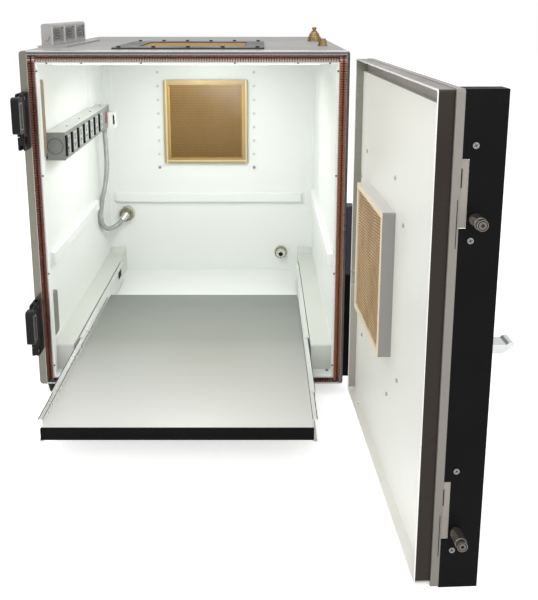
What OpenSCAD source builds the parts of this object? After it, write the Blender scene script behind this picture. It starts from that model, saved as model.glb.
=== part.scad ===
// Bench-top RF shielded test enclosure: a double-walled cabinet with a knife-edge door,
// a slide-out equipment tray, honeycomb vents and two over-centre door latches.
// Millimetres, +Z up. The origin is on the bench, under the middle of the cabinet's front rim.

/* [Cabinet] */
// Overall width of the cabinet
cab_w = 560; // [480:10:700]
// Height of the cabinet without its feet
cab_h = 607; // [561:2:761]
// Depth of the cabinet
cab_d = 700; // [660:10:820]
// Sheet thickness of the outer shell
shell_t = 2; // [1.5:0.5:3]
// Sheet thickness of the white liner
liner_t = 1.2; // [1:0.2:2]
// Radius of the cabinet's long edges
cab_r = 6; // [2:1:9]
// Width of the wide grey strip left of the gasket channel, where the latches sit
rim_left = 13.5; // [12:0.5:20]
// Width of the narrow flange right of the gasket channel
rim_right = 5; // [4:0.5:10]
// Width of the flange above the gasket channel
rim_top = 7; // [4:0.5:10]
// Width of the flange below the gasket channel
rim_bottom = 3; // [3:0.5:6]
// Width of the gasket channel, left and right
channel_w = 12; // [10:0.5:16]
// Width of the gasket channel at the top and the bottom
channel_h = 10; // [8:0.5:14]
// Depth of the gasket channel
channel_d = 20; // [19.5:0.5:26]
// Width of the liner's riveted front flange
flange_w = 3.5; // [3:0.5:8]
// Gap between the liner's left wall and the shell's outer face
wall_gap = 16.8; // [15:0.2:24]
// Gap between the liner's rear wall and the shell's outer rear face
rear_gap = 31.8; // [24:0.2:40]
// Height of the chamber's floor above the cabinet's underside
floor_z = 11; // [8:0.5:20]
// Height of the rubber feet
foot_h = 22; // [12:1:40]
// Top diameter of the tapered rubber feet
foot_dia = 29; // [20:1:40]
// Distance of the feet's axes from the cabinet's left side and rear
foot_inset = 24; // [20:1:60]
// Distance of the right feet's axes from the hinge side, clear of the hinge
foot_inset_hinge = 84; // [40:1:100]
// Distance of the front feet's axes from the front rim
foot_front = 17; // [16:1:60]

/* [Gasket] */
// Pitch of the spring fingers
finger_pitch = 9.5; // [6:0.5:16]
// Width of the slot between two fingers
finger_slot = 1.4; // [0.8:0.1:3]
// Sheet thickness of the finger stock
finger_t = 0.6; // [0.4:0.1:1.2]

/* [Chamber] */
// Width of the two side pedestals that carry the slides
pedestal_w = 38; // [28:1:60]
// Height of the pedestals above the chamber's floor
pedestal_h = 52; // [50:1:80]
// Distance of the pedestals and of the sill's rear edge from the front plane
pedestal_y = 35; // [30:1:60]
// Height of the sill above the chamber's floor
sill_h = 3; // [2:0.5:6]
// Height of the hat rails' section
rail_h = 24; // [16:1:36]
// Projection of the hat rails from the wall
rail_t = 9; // [6:1:14]
// Height of the side rails above the cabinet's underside
rail_side_z = 212; // [150:1:260]
// Height of the rear rail above the cabinet's underside
rail_rear_z = 192.5; // [150:0.5:260]
// Leg width of the two rear corner angles
corner_leg = 19; // [12:1:30]
// Pitch of the studs around the rear vent
stud_pitch = 34.2; // [24:0.1:50]
// Number of studs in each column beside the rear vent
stud_count = 8; // [4:1:9]
// Diameter of the stud heads
stud_dia = 7; // [4:0.5:10]

/* [Vents] */
// Across-flats size of one honeycomb cell
cell_af = 12; // [10:0.5:18]
// Wall between two honeycomb cells
cell_wall = 0.9; // [0.6:0.1:2]
// Outer size of the square rear vent's flange
rear_vent_w = 210; // [180:2:240]
// Border width of the vents' frames
vent_border = 9; // [8:0.5:16]
// Length of the roof vent's honeycomb
roof_vent_w = 198; // [160:2:210]
// Width of the dark plate around the roof vent
roof_plate_w = 268; // [240:2:300]
// Length of the dark plate around the roof vent
roof_plate_l = 300; // [260:2:340]
// Thickness of the dark plate around the roof vent
roof_plate_t = 3; // [2:0.5:12]
// Size of the square vent box in the door
door_vent_w = 212; // [180:2:230]
// Projection of the door's vent box from the liner
door_vent_t = 19; // [12:1:19]
// Width of the clamping frames on the outer faces of the rear vent and the door vent
clamp_w = 14; // [10:1:20]
// Thickness of the clamping frames
clamp_t = 2.5; // [1.5:0.5:4]

/* [Tray and slides] */
// Length of the tray
tray_l = 616; // [500:2:640]
// Thickness of the tray's sheet
tray_t = 2; // [1.5:0.5:4]
// Height of the tray's folded edge and of its black front lip
lip_h = 20; // [12:1:24]
// How far the tray's top lies below the top of the slides
tray_drop = 11.5; // [6:0.5:18]
// How far the tray stands pulled out at rest
tray_out = 274; // [0:2:300]
// Share of the tray's travel that the middle slide members make
mid_share = 0.6; // [0.5:0.05:0.7]
// Height of the slides' section
slide_h = 45; // [40:1:50]
// Thickness of the slides across their section
slide_w = 12.7; // [12:0.1:16]
// Sheet thickness of the slides' members
slide_t = 1.4; // [1:0.1:1.5]
// Clearance between neighbouring slide members
slide_clear = 0.4; // [0.3:0.05:0.6]
// Length of the fixed outer members
outer_l = 490; // [400:5:520]
// Length of the middle members
mid_l = 516; // [450:2:520]
// Length of the inner members
inner_l = 570; // [480:5:600]
// How far the inner members stand back from the tray's front edge
inner_back = 10; // [6:1:20]

/* [Door] */
// Angle at which the door stands open
door_open = 92.8; // [84:0.2:110]
// Thickness of the door's frame plate
plate_t = 9.5; // [6:0.5:14]
// Height of the knife rim above the plate
knife_h = 19; // [14:0.5:19]
// Sheet thickness of the knife rim
knife_t = 2; // [1.5:0.5:2.5]
// Height of the door's white liner above the plate
door_liner_h = 6; // [3:0.5:10]
// Width of the bare strip above the door's liner
liner_gap = 18; // [10:1:30]
// Width of the black latch bar along the free edge
bar_w = 28; // [20:1:40]
// Depth of the black latch bar
bar_d = 46.5; // [36:0.5:60]
// Length of the latch bar's notches
notch_l = 76; // [60:1:90]
// Width of the handle ledge across the latch bar
handle_w = 24; // [16:1:26]

/* [Hinge] */
// Distance of the hinge axis from the cabinet's side
hinge_out = 22; // [20:1:30]
// Diameter of the hinge pin
pin_dia = 8; // [6:0.5:10]
// Outer diameter of the hinge knuckles
knuckle_dia = 16; // [14:0.5:18]
// Radial running clearance of hinge pins, latch pins and rollers
run_clear = 0.05; // [0.02:0.01:0.1]
// Axial gap between two hinge knuckles
knuckle_gap = 0.5; // [0.3:0.1:1]
// Height of the lower hinge
hinge_low_h = 193; // [120:1:200]
// Height of the upper hinge
hinge_up_h = 125; // [100:1:200]

/* [Latches] */
// Height of the latch bodies
latch_h = 96; // [90:1:110]
// Width of the latch bodies across the cabinet
latch_w = 11.5; // [10.5:0.1:12]
// Depth of the latch bodies in front of the rim
latch_d = 38; // [37:0.5:46]
// Thickness of a latch cheek
cheek_t = 3; // [2:0.1:3.3]
// Height of the lever's handle block
lever_h = 61; // [50:1:63]
// Depth of the lever's handle block
lever_d = 23.5; // [20:0.5:50]
// Diameter of the door's rollers
roller_dia = 14; // [11:0.5:15]
// Length of the roller posts beyond the door's free edge
post_l = 31; // [26:1:44]

/* [Power strip] */
// Length of the power strip
strip_l = 452; // [380:2:470]
// Height of the power strip
strip_h = 52; // [46:1:60]
// Depth of the power strip off the wall
strip_w = 36; // [32:1:44]
// Number of outlets in the strip
outlet_count = 7; // [4:1:7]
// Pitch of the outlets
outlet_pitch = 54; // [46:1:56]
// Outer diameter of the flexible conduit
conduit_dia = 12; // [9:0.5:14]

/* [Roof fittings] */
// Length of the I/O housing on the roof
io_l = 298; // [220:2:320]
// Height of the I/O housing
io_h = 42; // [30:1:56]
// Width of the I/O housing
io_w = 19; // [16:1:26]
// Number of ports in the I/O housing
io_ports = 3; // [2:1:4]
// Diameter of the ground terminal's base
terminal_dia = 30; // [26:1:40]
// Height of the ground terminal
terminal_h = 30; // [28:1:46]

/* [Hidden] */
$fn = 40;

// The cabinet's outline and the rings of its front rim: [left, bottom, right, top].
half_w = cab_w / 2;
lip_t = 1;
case_box = [-half_w, 0, half_w, cab_h];
channel_out = [-half_w + rim_left, rim_bottom, half_w - rim_right, cab_h - rim_top];
channel_in = [
    channel_out[0] + channel_w, channel_out[1] + channel_h - lip_t,
    channel_out[2] - channel_w, channel_out[3] - channel_h - lip_t
];
opening = grow(channel_in, -lip_t);
frame_d = channel_d + 2;

// The chamber inside the liner: side walls, floor, ceiling and rear wall.
wall_l = -half_w + wall_gap + liner_t;
wall_r = opening[2] - liner_t;
ceil_z = opening[3] + 1;
rear_y = cab_d - rear_gap - liner_t;
sill_z = floor_z + sill_h;
ped_top = floor_z + pedestal_h;
ped_r = wall_r - pedestal_w;
rail_rear_x = [-242.5, 231];

// Rear vent and its stud square.
rear_vent_x = -9.5;
rear_vent_z = 398.5;
vent_proj = 8;
stud_top = 522;
stud_col = [-128.5, 111];
stud_h = 3;
stud_z = [for (i = [0 : stud_count - 1]) stud_top - i * stud_pitch];

// Roof vent.
roof_vent_x = 1;
roof_vent_y = 200;
roof_core_x = 4;
screw_dia = 7;
screw_h = 2.5;
sleeve_t = 2;

// Slides: heights, and the stations of the three members from the pedestal's face.
slide_z = sill_z;
slide_y = 80;
mid_s = 2 * slide_t + 0.2;
mid_z = slide_t + slide_clear;
mid_t = slide_t - 0.2;
mid_s1 = slide_w - slide_t - 0.3;
inner_z = mid_z + mid_t + slide_clear;
inner_s = mid_s + mid_t + 0.8;
mid_home = 13;
tray_home = 18;

// Tray.
tray_half = ped_r - slide_w;
tray_front = tray_home - tray_out;
tray_top = slide_z + slide_h - tray_drop;

// Door in its closed place: the knife rim in the channel, the plate in front of the rim.
hinge_x = half_w + hinge_out;
knife_y = 17;
plate_y = knife_y - knife_h;
knife_gap = [2.5, 1.6, 3.5, 4];
knife_box = [
    channel_out[0] + knife_gap[0], channel_out[1] + knife_gap[1],
    channel_out[2] - knife_gap[2], channel_out[3] - knife_gap[3]
];
plate_lap = [3.5, 0.5, 2, 0.5];
plate_box = [
    knife_box[0] - plate_lap[0], knife_box[1] - plate_lap[1],
    knife_box[2] + plate_lap[2], knife_box[3] + plate_lap[3]
];
door_liner_box = [
    knife_box[0] + knife_t, knife_box[1] + knife_t, knife_box[2] - knife_t,
    knife_box[3] - knife_t - liner_gap
];
door_vent_x = 83.5;
door_vent_z = 299;
vent_hole_w = door_vent_w - 2 * vent_border;
bar_t = 2.5;
handle_z = 302;
post_y = -28;
screw_y = -25;
free_x = plate_box[0];

// Latches and rollers: post heights follow the two latch bodies.
latch_z = [442, 70];
mouth_rise = [16.5, 10];
mouth_r = roller_dia / 2 + 0.8;
latch_x = free_x - 1 - latch_w;
latch_pin_y = -20;
latch_pin_rise = 88;
latch_pin_r = 3;
hook_t = latch_w - 2 * cheek_t - 0.6;
hub_r = 8;
lever_gap = 0.5;
tongue_gap = 0.4;
lever_w = 13.5;
lever_rise = 31;
post_z = [for (i = [0, 1]) latch_z[i] + mouth_rise[i]];
post_r = 4;
head_r = 6.3;
head_l = 6;
collar_r = 5.5;
collar_l = 3;

// Power strip.
strip_y = 70;
strip_z = 407;
strip_x = wall_l + strip_w;
outlet_w = 30;
outlet_h = 34;
outlet_y = 96;
switch_y = 482;
switch_z = strip_z + strip_h / 2;
switch_w = 21;
switch_h = 26;
switch_pin_r = 1.5;
plug_y = [497, 522];
plug_z = [408, 443];
plug_t = 18;

// Conduit: from the strip's underside, behind the side rail and round to the gland.
strip_end = strip_y + strip_l;
conduit_pts = [
    [-236, strip_end - 11, strip_z], [-236.5, strip_end - 9, strip_z - 17], [-237, strip_end, 355],
    [-240, strip_end + 16, 305], [-248, strip_end + 24, 258], [-254, strip_end + 18, 230],
    [-255, strip_end + 2, 208], [-255, strip_end - 6, 188], [-254, strip_end + 10, 165],
    [-250, rear_y - 97, 147], [-243, rear_y - 61, 140], [-233, rear_y - 37, 143], [-226, rear_y - 26, 150]
];
gland_knee = [-217, rear_y - 16, 161];
gland_r = 8;
cup_x = -216;
cup_z = 162;
cup_r = 20;
cup_d = 12;
conn_x = 180;
conn_z = 59;
conn_r = 16;
duct_y = [455, 500];
duct_t = 8;

// Roof fittings.
io_x = -half_w + 7;
io_y = 130;
io_base_w = 55;
io_base_t = 3;
io_pitch = io_l / io_ports;
terminal_x = 244;
terminal_y = 416;
stub_y = 185;
stub_r = 8;
stub_h = 14;

function grow(b, d) = [b[0] - d, b[1] - d, b[2] + d, b[3] + d];
function arc_pts(cx, cy, r, a0, a1, n) =
    [for (i = [0 : n]) [cx + r * cos(a0 + (a1 - a0) * i / n), cy + r * sin(a0 + (a1 - a0) * i / n)]];
// Outline of a box [left, bottom, right, top] with round corners.
function round_box(b, r) = concat(
    arc_pts(b[2] - r, b[1] + r, r, -90, 0, 6), arc_pts(b[2] - r, b[3] - r, r, 0, 90, 6),
    arc_pts(b[0] + r, b[3] - r, r, 90, 180, 6), arc_pts(b[0] + r, b[1] + r, r, 180, 270, 6)
);
function unit(v) = v / norm(v);

// Extrusions of an (x, z), a (y, z) and an (x, y) outline between two stations.
module along_y(y0, y1) { translate([0, y1, 0]) rotate([90, 0, 0]) linear_extrude(y1 - y0) children(); }
module along_x(x0, x1) { translate([x0, 0, 0]) rotate([90, 0, 90]) linear_extrude(x1 - x0) children(); }
module along_z(z0, z1) { translate([0, 0, z0]) linear_extrude(z1 - z0) children(); }
module box(b, r = 0) {
    if (r > 0) polygon(round_box(b, r));
    else translate([b[0], b[1]]) square([b[2] - b[0], b[3] - b[1]]);
}
module block(p, q) { translate(p) cube(q - p); }
module rod_y(x, z, r, y0, y1) { translate([x, y1, z]) rotate([90, 0, 0]) cylinder(r = r, h = y1 - y0); }
module rod_x(y, z, r, x0, x1) { translate([x0, y, z]) rotate([0, 90, 0]) cylinder(r = r, h = x1 - x0); }
module rod(p, q, r) {
    v = q - p;
    translate(p) rotate([0, acos(v[2] / norm(v)), atan2(v[1], v[0])]) cylinder(r = r, h = norm(v));
}

// Everything is drawn from the cabinet's underside and lifted onto the feet.
module on_feet() { translate([0, 0, foot_h]) children(); }
// The door is drawn closed and swung open about the hinge axis.
module on_door() {
    on_feet() translate([hinge_x, 0, 0]) rotate([0, 0, door_open]) translate([-hinge_x, 0, 0]) children();
}
module mirror_if(on) { if (on) mirror([1, 0, 0]) children(); else children(); }

// ---- Cabinet: folded outer shell, front rim and liner ----

module outer_shell() {
    rear_hole = rear_vent_w - 2 * vent_border;
    color("gainsboro") on_feet() difference() {
        along_y(frame_d, cab_d) box(case_box, cab_r);
        along_y(frame_d - 1, cab_d - shell_t) box(grow(case_box, -shell_t), cab_r - shell_t);
        along_y(cab_d - shell_t - 1, cab_d + 1) translate([rear_vent_x, rear_vent_z])
            square(rear_hole, center = true);
        along_z(cab_h - shell_t - 1, cab_h + 1) translate([roof_core_x, roof_vent_y])
            square(roof_vent_w, center = true);
        rod_y(cup_x, cup_z, cup_r / 2, cab_d - shell_t - 1, cab_d + 1);
        rod_y(conn_x, conn_z, conn_r / 2, cab_d - shell_t - 1, cab_d + 1);
    }
}

module front_frame() {
    color("silver") on_feet() difference() {
        along_y(0, frame_d) box(case_box, cab_r);
        along_y(-1, frame_d + 1) box(opening);
        along_y(-1, channel_d) difference() {
            box(channel_out);
            box(channel_in);
        }
    }
}

// Section of the finger stock across a channel of width w: two sprung leaves on one web.
function leaf_pts(w, knife_lo, knife_hi) = concat(
    [[0, channel_d], [0, 2]],
    arc_leaf(0, knife_lo - 0.3),
    [[finger_t, 16]],
    [[finger_t, channel_d - finger_t], [w - finger_t, channel_d - finger_t], [w - finger_t, 16]],
    arc_leaf(w, knife_hi + 0.3),
    [[w, 2], [w, channel_d]]
);
// A leaf bows out of the wall to the knife between two depths.
function arc_leaf(wall_at, tip) =
    let (d = tip - wall_at, s = sign(d))
    d > 0
        ? [[s * finger_t, 2], [d - finger_t, 6], [d, 9], [d - finger_t, 12]]
        : [
            [wall_at + d + finger_t, 12], [wall_at + d, 9], [wall_at + d + finger_t, 6],
            [wall_at - finger_t, 2]
        ];

// One straight length of finger stock: the section runs along z, with a slot between fingers.
module finger_run(w, length, knife_lo, knife_hi) {
    n = floor(length / finger_pitch);
    margin = (length - n * finger_pitch) / 2;
    difference() {
        linear_extrude(length) polygon(leaf_pts(w, knife_lo, knife_hi));
        translate([-1, 0, 0]) rotate([90, 0, 90]) linear_extrude(w + 2)
            for (i = [1 : n - 1])
                translate([-1, margin + i * finger_pitch - finger_slot / 2])
                    square([channel_d - 3, finger_slot]);
    }
}

module finger_gasket() {
    ch_w_top = channel_out[3] - channel_in[3];
    ch_w_bot = channel_in[1] - channel_out[1];
    run_z = channel_out[3] - channel_out[1];
    run_x = channel_in[2] - channel_in[0];
    // Where the knife rim's two faces stand in the channel: left, right, top and bottom.
    left = knife_gap[0];
    right = channel_w - knife_gap[2];
    top = knife_gap[3];
    bottom = ch_w_bot - knife_gap[1];
    color("peru") on_feet() {
        translate([channel_out[0], 0, channel_out[1]]) finger_run(channel_w, run_z, left, left + knife_t);
        translate([channel_in[2], 0, channel_out[1]]) finger_run(channel_w, run_z, right - knife_t, right);
        translate([channel_in[0], 0, channel_out[3]]) rotate([0, 90, 0])
            finger_run(ch_w_top, run_x, top, top + knife_t);
        translate([channel_in[0], 0, channel_in[1]]) rotate([0, 90, 0])
            finger_run(ch_w_bot, run_x, bottom - knife_t, bottom);
    }
}

module inner_liner() {
    chamber = [wall_l, floor_z, wall_r, ceil_z];
    color("white") on_feet() difference() {
        union() {
            along_y(frame_d, rear_y + liner_t) box(grow(chamber, liner_t));
            along_y(2, frame_d) box(opening);
        }
        along_y(frame_d + liner_t, rear_y) box(chamber);
        along_y(1, frame_d + liner_t + 1) box([
            opening[0] + liner_t, sill_z, opening[2] - liner_t, opening[3] - liner_t
        ]);
        along_y(1, 1 + 1) box(grow(opening, 1));
        along_y(rear_y - 1, rear_y + liner_t + 1) translate([rear_vent_x, rear_vent_z])
            square(rear_vent_w - 2 * vent_border, center = true);
        along_z(ceil_z - 1, ceil_z + liner_t + 1) translate([roof_core_x, roof_vent_y])
            square(roof_vent_w, center = true);
        rod_y(cup_x, cup_z, cup_r / 2, rear_y - 1, rear_y + liner_t + 1);
        rod_y(conn_x, conn_z, conn_r / 2, rear_y - 1, rear_y + liner_t + 1);
    }
    color("white") on_feet() {
        along_y(2, 2 + liner_t) difference() {
            box(grow(opening, -liner_t / 2));
            box([opening[0] + flange_w, 0, opening[2] - flange_w, opening[3] - flange_w]);
        }
        block([opening[0], 2, opening[1]], [opening[2], frame_d + liner_t, sill_z]);
        block([wall_l, frame_d, floor_z - liner_t / 2], [wall_r, pedestal_y, sill_z]);
    }
}

module liner_rivets() {
    top_z = opening[3] - flange_w / 2;
    left_x = opening[0] + flange_w / 2;
    right_x = opening[2] - flange_w / 2;
    rivet_r = 1.6;
    color("dimgray") on_feet() {
        for (x = [-234, -175, -74, 85, 192, 246]) rod_y(x, top_z, rivet_r, 1, 2);
        for (z = [36, 213, 392, 573]) {
            rod_y(left_x, z, rivet_r, 1, 2);
            rod_y(right_x, z, rivet_r, 1, 2);
        }
        translate([opening[2] - 9, (pedestal_y + frame_d) / 2, sill_z]) cylinder(r = 3, h = 1);
    }
}

// Light strip under the ceiling, just behind the front flange.
module light_bar() {
    bar_l = 460;
    color("ivory") on_feet()
        along_x(-bar_l / 2, bar_l / 2) polygon([
            [frame_d + 4, ceil_z], [frame_d + 4, ceil_z - 4], [frame_d + 9, ceil_z - 7],
            [frame_d + 21, ceil_z - 7], [frame_d + 26, ceil_z - 4], [frame_d + 26, ceil_z]
        ]);
}

// Hat rail standing on the wall, hollow towards the wall and closed at both ends.
module hat(h, t, length) {
    s = 2;
    difference() {
        linear_extrude(length) polygon([[0, 0], [t, s], [t, h - s], [0, h]]);
        translate([0, 0, s]) linear_extrude(length - 2 * s)
            polygon([[-1, s + 0.8], [t - s, 2 * s], [t - s, h - 2 * s], [-1, h - s - 0.8]]);
    }
}

module rail_rear() {
    color("white") on_feet() translate([0, rear_y, rail_rear_z]) rotate([90, 0, -90])
        translate([0, 0, -rail_rear_x[1]]) hat(rail_h, rail_t, rail_rear_x[1] - rail_rear_x[0]);
}
module rail_side(y0, y1) {
    translate([0, y1, rail_side_z]) rotate([90, 0, 0]) hat(rail_h, rail_t, y1 - y0);
}
module rail_left() { color("white") on_feet() translate([wall_l, 0, 0]) rail_side(60, rear_y - 172); }
module rail_right() {
    color("white") on_feet() translate([wall_r, 0, 0]) mirror([1, 0, 0]) rail_side(50, rear_y - 55);
}

module corner_angles() {
    angle_t = 1.5;
    z0 = ped_top + 10;
    color("white") on_feet() for (side = [0, 1]) {
        wall_at = side == 0 ? wall_l : wall_r;
        translate([wall_at, rear_y, 0]) mirror_if(side == 1) along_z(z0, ceil_z - 12) polygon([
            [0, 0], [corner_leg, 0], [corner_leg, -angle_t], [3, -angle_t],
            [angle_t, -3], [angle_t, -corner_leg], [0, -corner_leg]
        ]);
    }
}

module pedestal(x0, x1) {
    rear_step = 30;
    along_x(x0, x1) polygon([
        [pedestal_y, floor_z], [pedestal_y, ped_top - 2], [pedestal_y + 2, ped_top],
        [rear_y - rear_step, ped_top], [rear_y - 4, ped_top + 10], [rear_y, ped_top + 10],
        [rear_y, floor_z]
    ]);
}
module pedestal_left() { color("white") on_feet() pedestal(wall_l, -ped_r); }
module pedestal_right() { color("white") on_feet() pedestal(ped_r, wall_r); }

module feet() {
    taper = 4;
    x_pos = [foot_inset - half_w, half_w - foot_inset_hinge];
    y_pos = [foot_front, cab_d - foot_inset];
    color("black") for (x = x_pos, y = y_pos)
        translate([x, y, 0]) rotate_extrude() polygon([
            [0, 0], [foot_dia / 2 - taper - 1.5, 0], [foot_dia / 2 - taper, 1.5],
            [foot_dia / 2, foot_h - 3], [foot_dia / 2, foot_h], [0, foot_h]
        ]);
}

// ---- Vents ----

// A panel of whole hexagonal cells, w wide and h high, in the plane.
module honeycomb(w, h) {
    r = cell_af / 2 / cos(30);
    px = cell_af + cell_wall;
    py = px * sin(60);
    nx = floor((w - cell_wall) / px);
    ny = floor((h - 2 * r - cell_wall) / py) + 1;
    difference() {
        square([w, h], center = true);
        for (j = [0 : ny - 1])
            for (i = [0 : nx - 1 - j % 2])
                translate([(i - (nx - 1 - j % 2) / 2) * px, (j - (ny - 1) / 2) * py])
                    rotate(30) circle(r = r, $fn = 6);
    }
}

// Outline of a clamping frame around a square hole.
module clamp_ring(hole) {
    half = hole / 2 + clamp_w;
    difference() {
        box([-half, -half, half, half], 4);
        square(hole, center = true);
    }
}

module rear_vent_frame() {
    hole = rear_vent_w - 2 * vent_border;
    color("goldenrod") on_feet() translate([rear_vent_x, 0, rear_vent_z]) {
        along_y(rear_y - vent_proj, rear_y) difference() {
            box([-rear_vent_w / 2, -rear_vent_w / 2, rear_vent_w / 2, rear_vent_w / 2], 4);
            box([-hole / 2 + sleeve_t, -hole / 2 + sleeve_t, hole / 2 - sleeve_t, hole / 2 - sleeve_t], 8);
        }
        along_y(rear_y - 1, cab_d) difference() {
            square(hole, center = true);
            square(hole - 2 * sleeve_t, center = true);
        }
        along_y(cab_d, cab_d + clamp_t) clamp_ring(hole - 2 * sleeve_t);
    }
}
module rear_vent_core() {
    w = rear_vent_w - 2 * vent_border - 2 * sleeve_t;
    color("gold") on_feet() translate([rear_vent_x, 0, rear_vent_z])
        along_y(rear_y, cab_d - shell_t) honeycomb(w, w);
}
module rear_vent_studs() {
    color("silver") on_feet() for (x = stud_col, z = stud_z)
        rod_y(x, z, stud_dia / 2, rear_y - stud_h, rear_y);
}

module roof_vent_frame() {
    w = roof_vent_w - 2 * sleeve_t;
    color("dimgray") on_feet() {
        along_z(cab_h, cab_h + roof_plate_t) difference() {
            translate([roof_vent_x, roof_vent_y]) box([
                -roof_plate_w / 2, -roof_plate_l / 2, roof_plate_w / 2, roof_plate_l / 2
            ], 8);
            translate([roof_core_x, roof_vent_y]) square(w, center = true);
        }
        along_z(ceil_z, cab_h + 1) translate([roof_core_x, roof_vent_y]) difference() {
            square(roof_vent_w, center = true);
            square(w, center = true);
        }
    }
}
module roof_vent_core() {
    w = roof_vent_w - 2 * sleeve_t;
    color("gold") on_feet() translate([roof_core_x, roof_vent_y, 0])
        along_z(ceil_z, cab_h + roof_plate_t - 1.5) honeycomb(w, w);
}
module roof_vent_screws() {
    inset = 12;
    color("silver") on_feet() for (side = [-1, 1]) {
        count = side > 0 ? 6 : 5;
        for (i = [0 : count - 1])
            translate([
                roof_vent_x + (i - (count - 1) / 2) * (roof_plate_w - 2 * inset) / (count - 1),
                roof_vent_y + side * (roof_plate_l / 2 - inset), cab_h + roof_plate_t
            ]) cylinder(d = screw_dia, h = screw_h);
    }
}

// ---- Slides and tray ----

// A U section of the slide: web at s0..s0+t, lips to s1, between two heights.
module slide_section(web0, web1, lip0, lip1, z0, t) {
    union() {
        translate([web0, z0]) square([web1 - web0, slide_h - 2 * z0]);
        translate([lip0, z0]) square([lip1 - lip0, t]);
        translate([lip0, slide_h - z0 - t]) square([lip1 - lip0, t]);
    }
}
// Lays a slide member along y on the right pedestal, or mirrored on the left one.
module slide_member(left, y0, y1) {
    mirror_if(left) translate([ped_r, y1, slide_z]) mirror([1, 0, 0]) rotate([90, 0, 0])
        linear_extrude(y1 - y0) children();
}
module slide_outer(left) {
    slide_member(left, slide_y, slide_y + outer_l) slide_section(0, slide_t, 0, slide_w - 3.7, 0, slide_t);
}
module slide_mid(left) {
    y0 = mid_home - mid_share * tray_out;
    difference() {
        slide_member(left, y0, y0 + mid_l) slide_section(mid_s, mid_s + mid_t, mid_s, mid_s1, mid_z, mid_t);
        mirror_if(left) for (y = [y0 + 20, y0 + mid_l - 20])
            rod_x(y, slide_z + slide_h / 2, 4, ped_r - slide_w, ped_r);
    }
}
module slide_inner(left) {
    slide_member(left, tray_front + inner_back, tray_front + inner_back + inner_l)
        slide_section(slide_w - slide_t, slide_w, inner_s, slide_w, inner_z, slide_t);
}
module slide_outer_left() { color("silver") on_feet() slide_outer(true); }
module slide_outer_right() { color("silver") on_feet() slide_outer(false); }
module slide_mid_left() { color("silver") on_feet() slide_mid(true); }
module slide_mid_right() { color("silver") on_feet() slide_mid(false); }
module slide_inners() {
    color("silver") on_feet() {
        slide_inner(true);
        slide_inner(false);
    }
}

module tray_plate() {
    fold_z = tray_top - lip_h;
    color("slategray") on_feet() along_y(tray_front, tray_front + tray_l) difference() {
        box([-tray_half, fold_z, tray_half, tray_top]);
        box([-tray_half + tray_t, fold_z - 1, tray_half - tray_t, tray_top - tray_t]);
    }
}
module tray_lip() {
    color("black") on_feet() along_y(tray_front - 3, tray_front)
        box([-tray_half - 1.2, tray_top - lip_h, tray_half + 1.2, tray_top], 1.5);
}

// ---- Door, drawn closed ----

module door_plate() {
    hole = vent_hole_w - 2 * sleeve_t;
    color("lightgray") on_door() along_y(plate_y - plate_t, plate_y) difference() {
        box(plate_box, 3);
        translate([door_vent_x, door_vent_z]) square(hole, center = true);
    }
}
module door_knife() {
    color("rosybrown") on_door() along_y(plate_y, knife_y) difference() {
        box(knife_box, 3);
        box(grow(knife_box, -knife_t), 1.5);
    }
}
module door_liner() {
    hole = vent_hole_w - 2 * sleeve_t;
    color("white") on_door() along_y(plate_y, plate_y + door_liner_h) difference() {
        box(door_liner_box, 1.5);
        translate([door_vent_x, door_vent_z]) square(hole, center = true);
    }
}
module door_vent_box() {
    y0 = plate_y + door_liner_h;
    hole = vent_hole_w;
    half = door_vent_w / 2;
    outer_y = plate_y - plate_t;
    color("whitesmoke") on_door() translate([door_vent_x, 0, door_vent_z]) {
        along_y(y0, y0 + door_vent_t) difference() {
            box([-half, -half, half, half], 3);
            box([-hole / 2, -hole / 2, hole / 2, hole / 2]);
        }
        along_y(outer_y - clamp_t, outer_y) clamp_ring(hole - 2 * sleeve_t);
    }
}
module door_vent_core() {
    y0 = plate_y + door_liner_h;
    color("gold") on_door() translate([door_vent_x, 0, door_vent_z])
        along_y(y0, y0 + door_vent_t - 2) honeycomb(vent_hole_w, vent_hole_w);
}
module door_studs() {
    y0 = plate_y + door_liner_h;
    // Distances from the knife's hinge edge, and heights.
    studs = [[62, 452], [283, 452], [12, 401], [346, 401], [61, 134], [280, 130], [344, 181]];
    color("silver") on_door() for (s = studs)
        rod_y(knife_box[2] - s[0], s[1], 3, y0, y0 + 2);
}

// The black latch bar: a folded channel with two notches at the roller posts.
module door_edge_bar() {
    y1 = plate_y - plate_t;
    y0 = y1 - bar_d;
    color("black") on_door() difference() {
        block([free_x, y0, plate_box[1]], [free_x + bar_w, y1, plate_box[3]]);
        block([free_x + bar_t, y0 + bar_t, plate_box[1] + bar_t],
            [free_x + bar_w + 1, y1 + 1, plate_box[3] - bar_t]);
        for (z = post_z) {
            block([free_x - 1, y1 - 8.5, z - 11.5], [free_x + bar_w + 1, y1 + 1, z - 11.5 + notch_l]);
            rod_x(post_y, z, post_r, free_x - 1, free_x + bar_t + 1);
        }
    }
}
module strike_plates() {
    y1 = plate_y - plate_t;
    color("gainsboro") on_door() for (z = post_z)
        block([free_x + 1, y1 - 8, z - 10.5], [free_x + 4.5, y1, z - 12.5 + notch_l]);
}
module door_screws() {
    color("silver") on_door() for (z = [55.3, 158.6, 434.1, 537.7])
        rod_x(screw_y, z, 3.5, free_x - 2, free_x);
}
module roller_posts() {
    x0 = free_x - post_l;
    color("silver") on_door() for (z = post_z) difference() {
        union() {
            rod_x(post_y, z, collar_r, free_x - collar_l, free_x);
            rod_x(post_y, z, post_r, x0 + head_l, free_x + bar_t);
            rod_x(post_y, z, head_r, x0, x0 + head_l);
        }
        rod_x(post_y, z, 2, x0 - 1, x0 + 4);
    }
}
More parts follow.
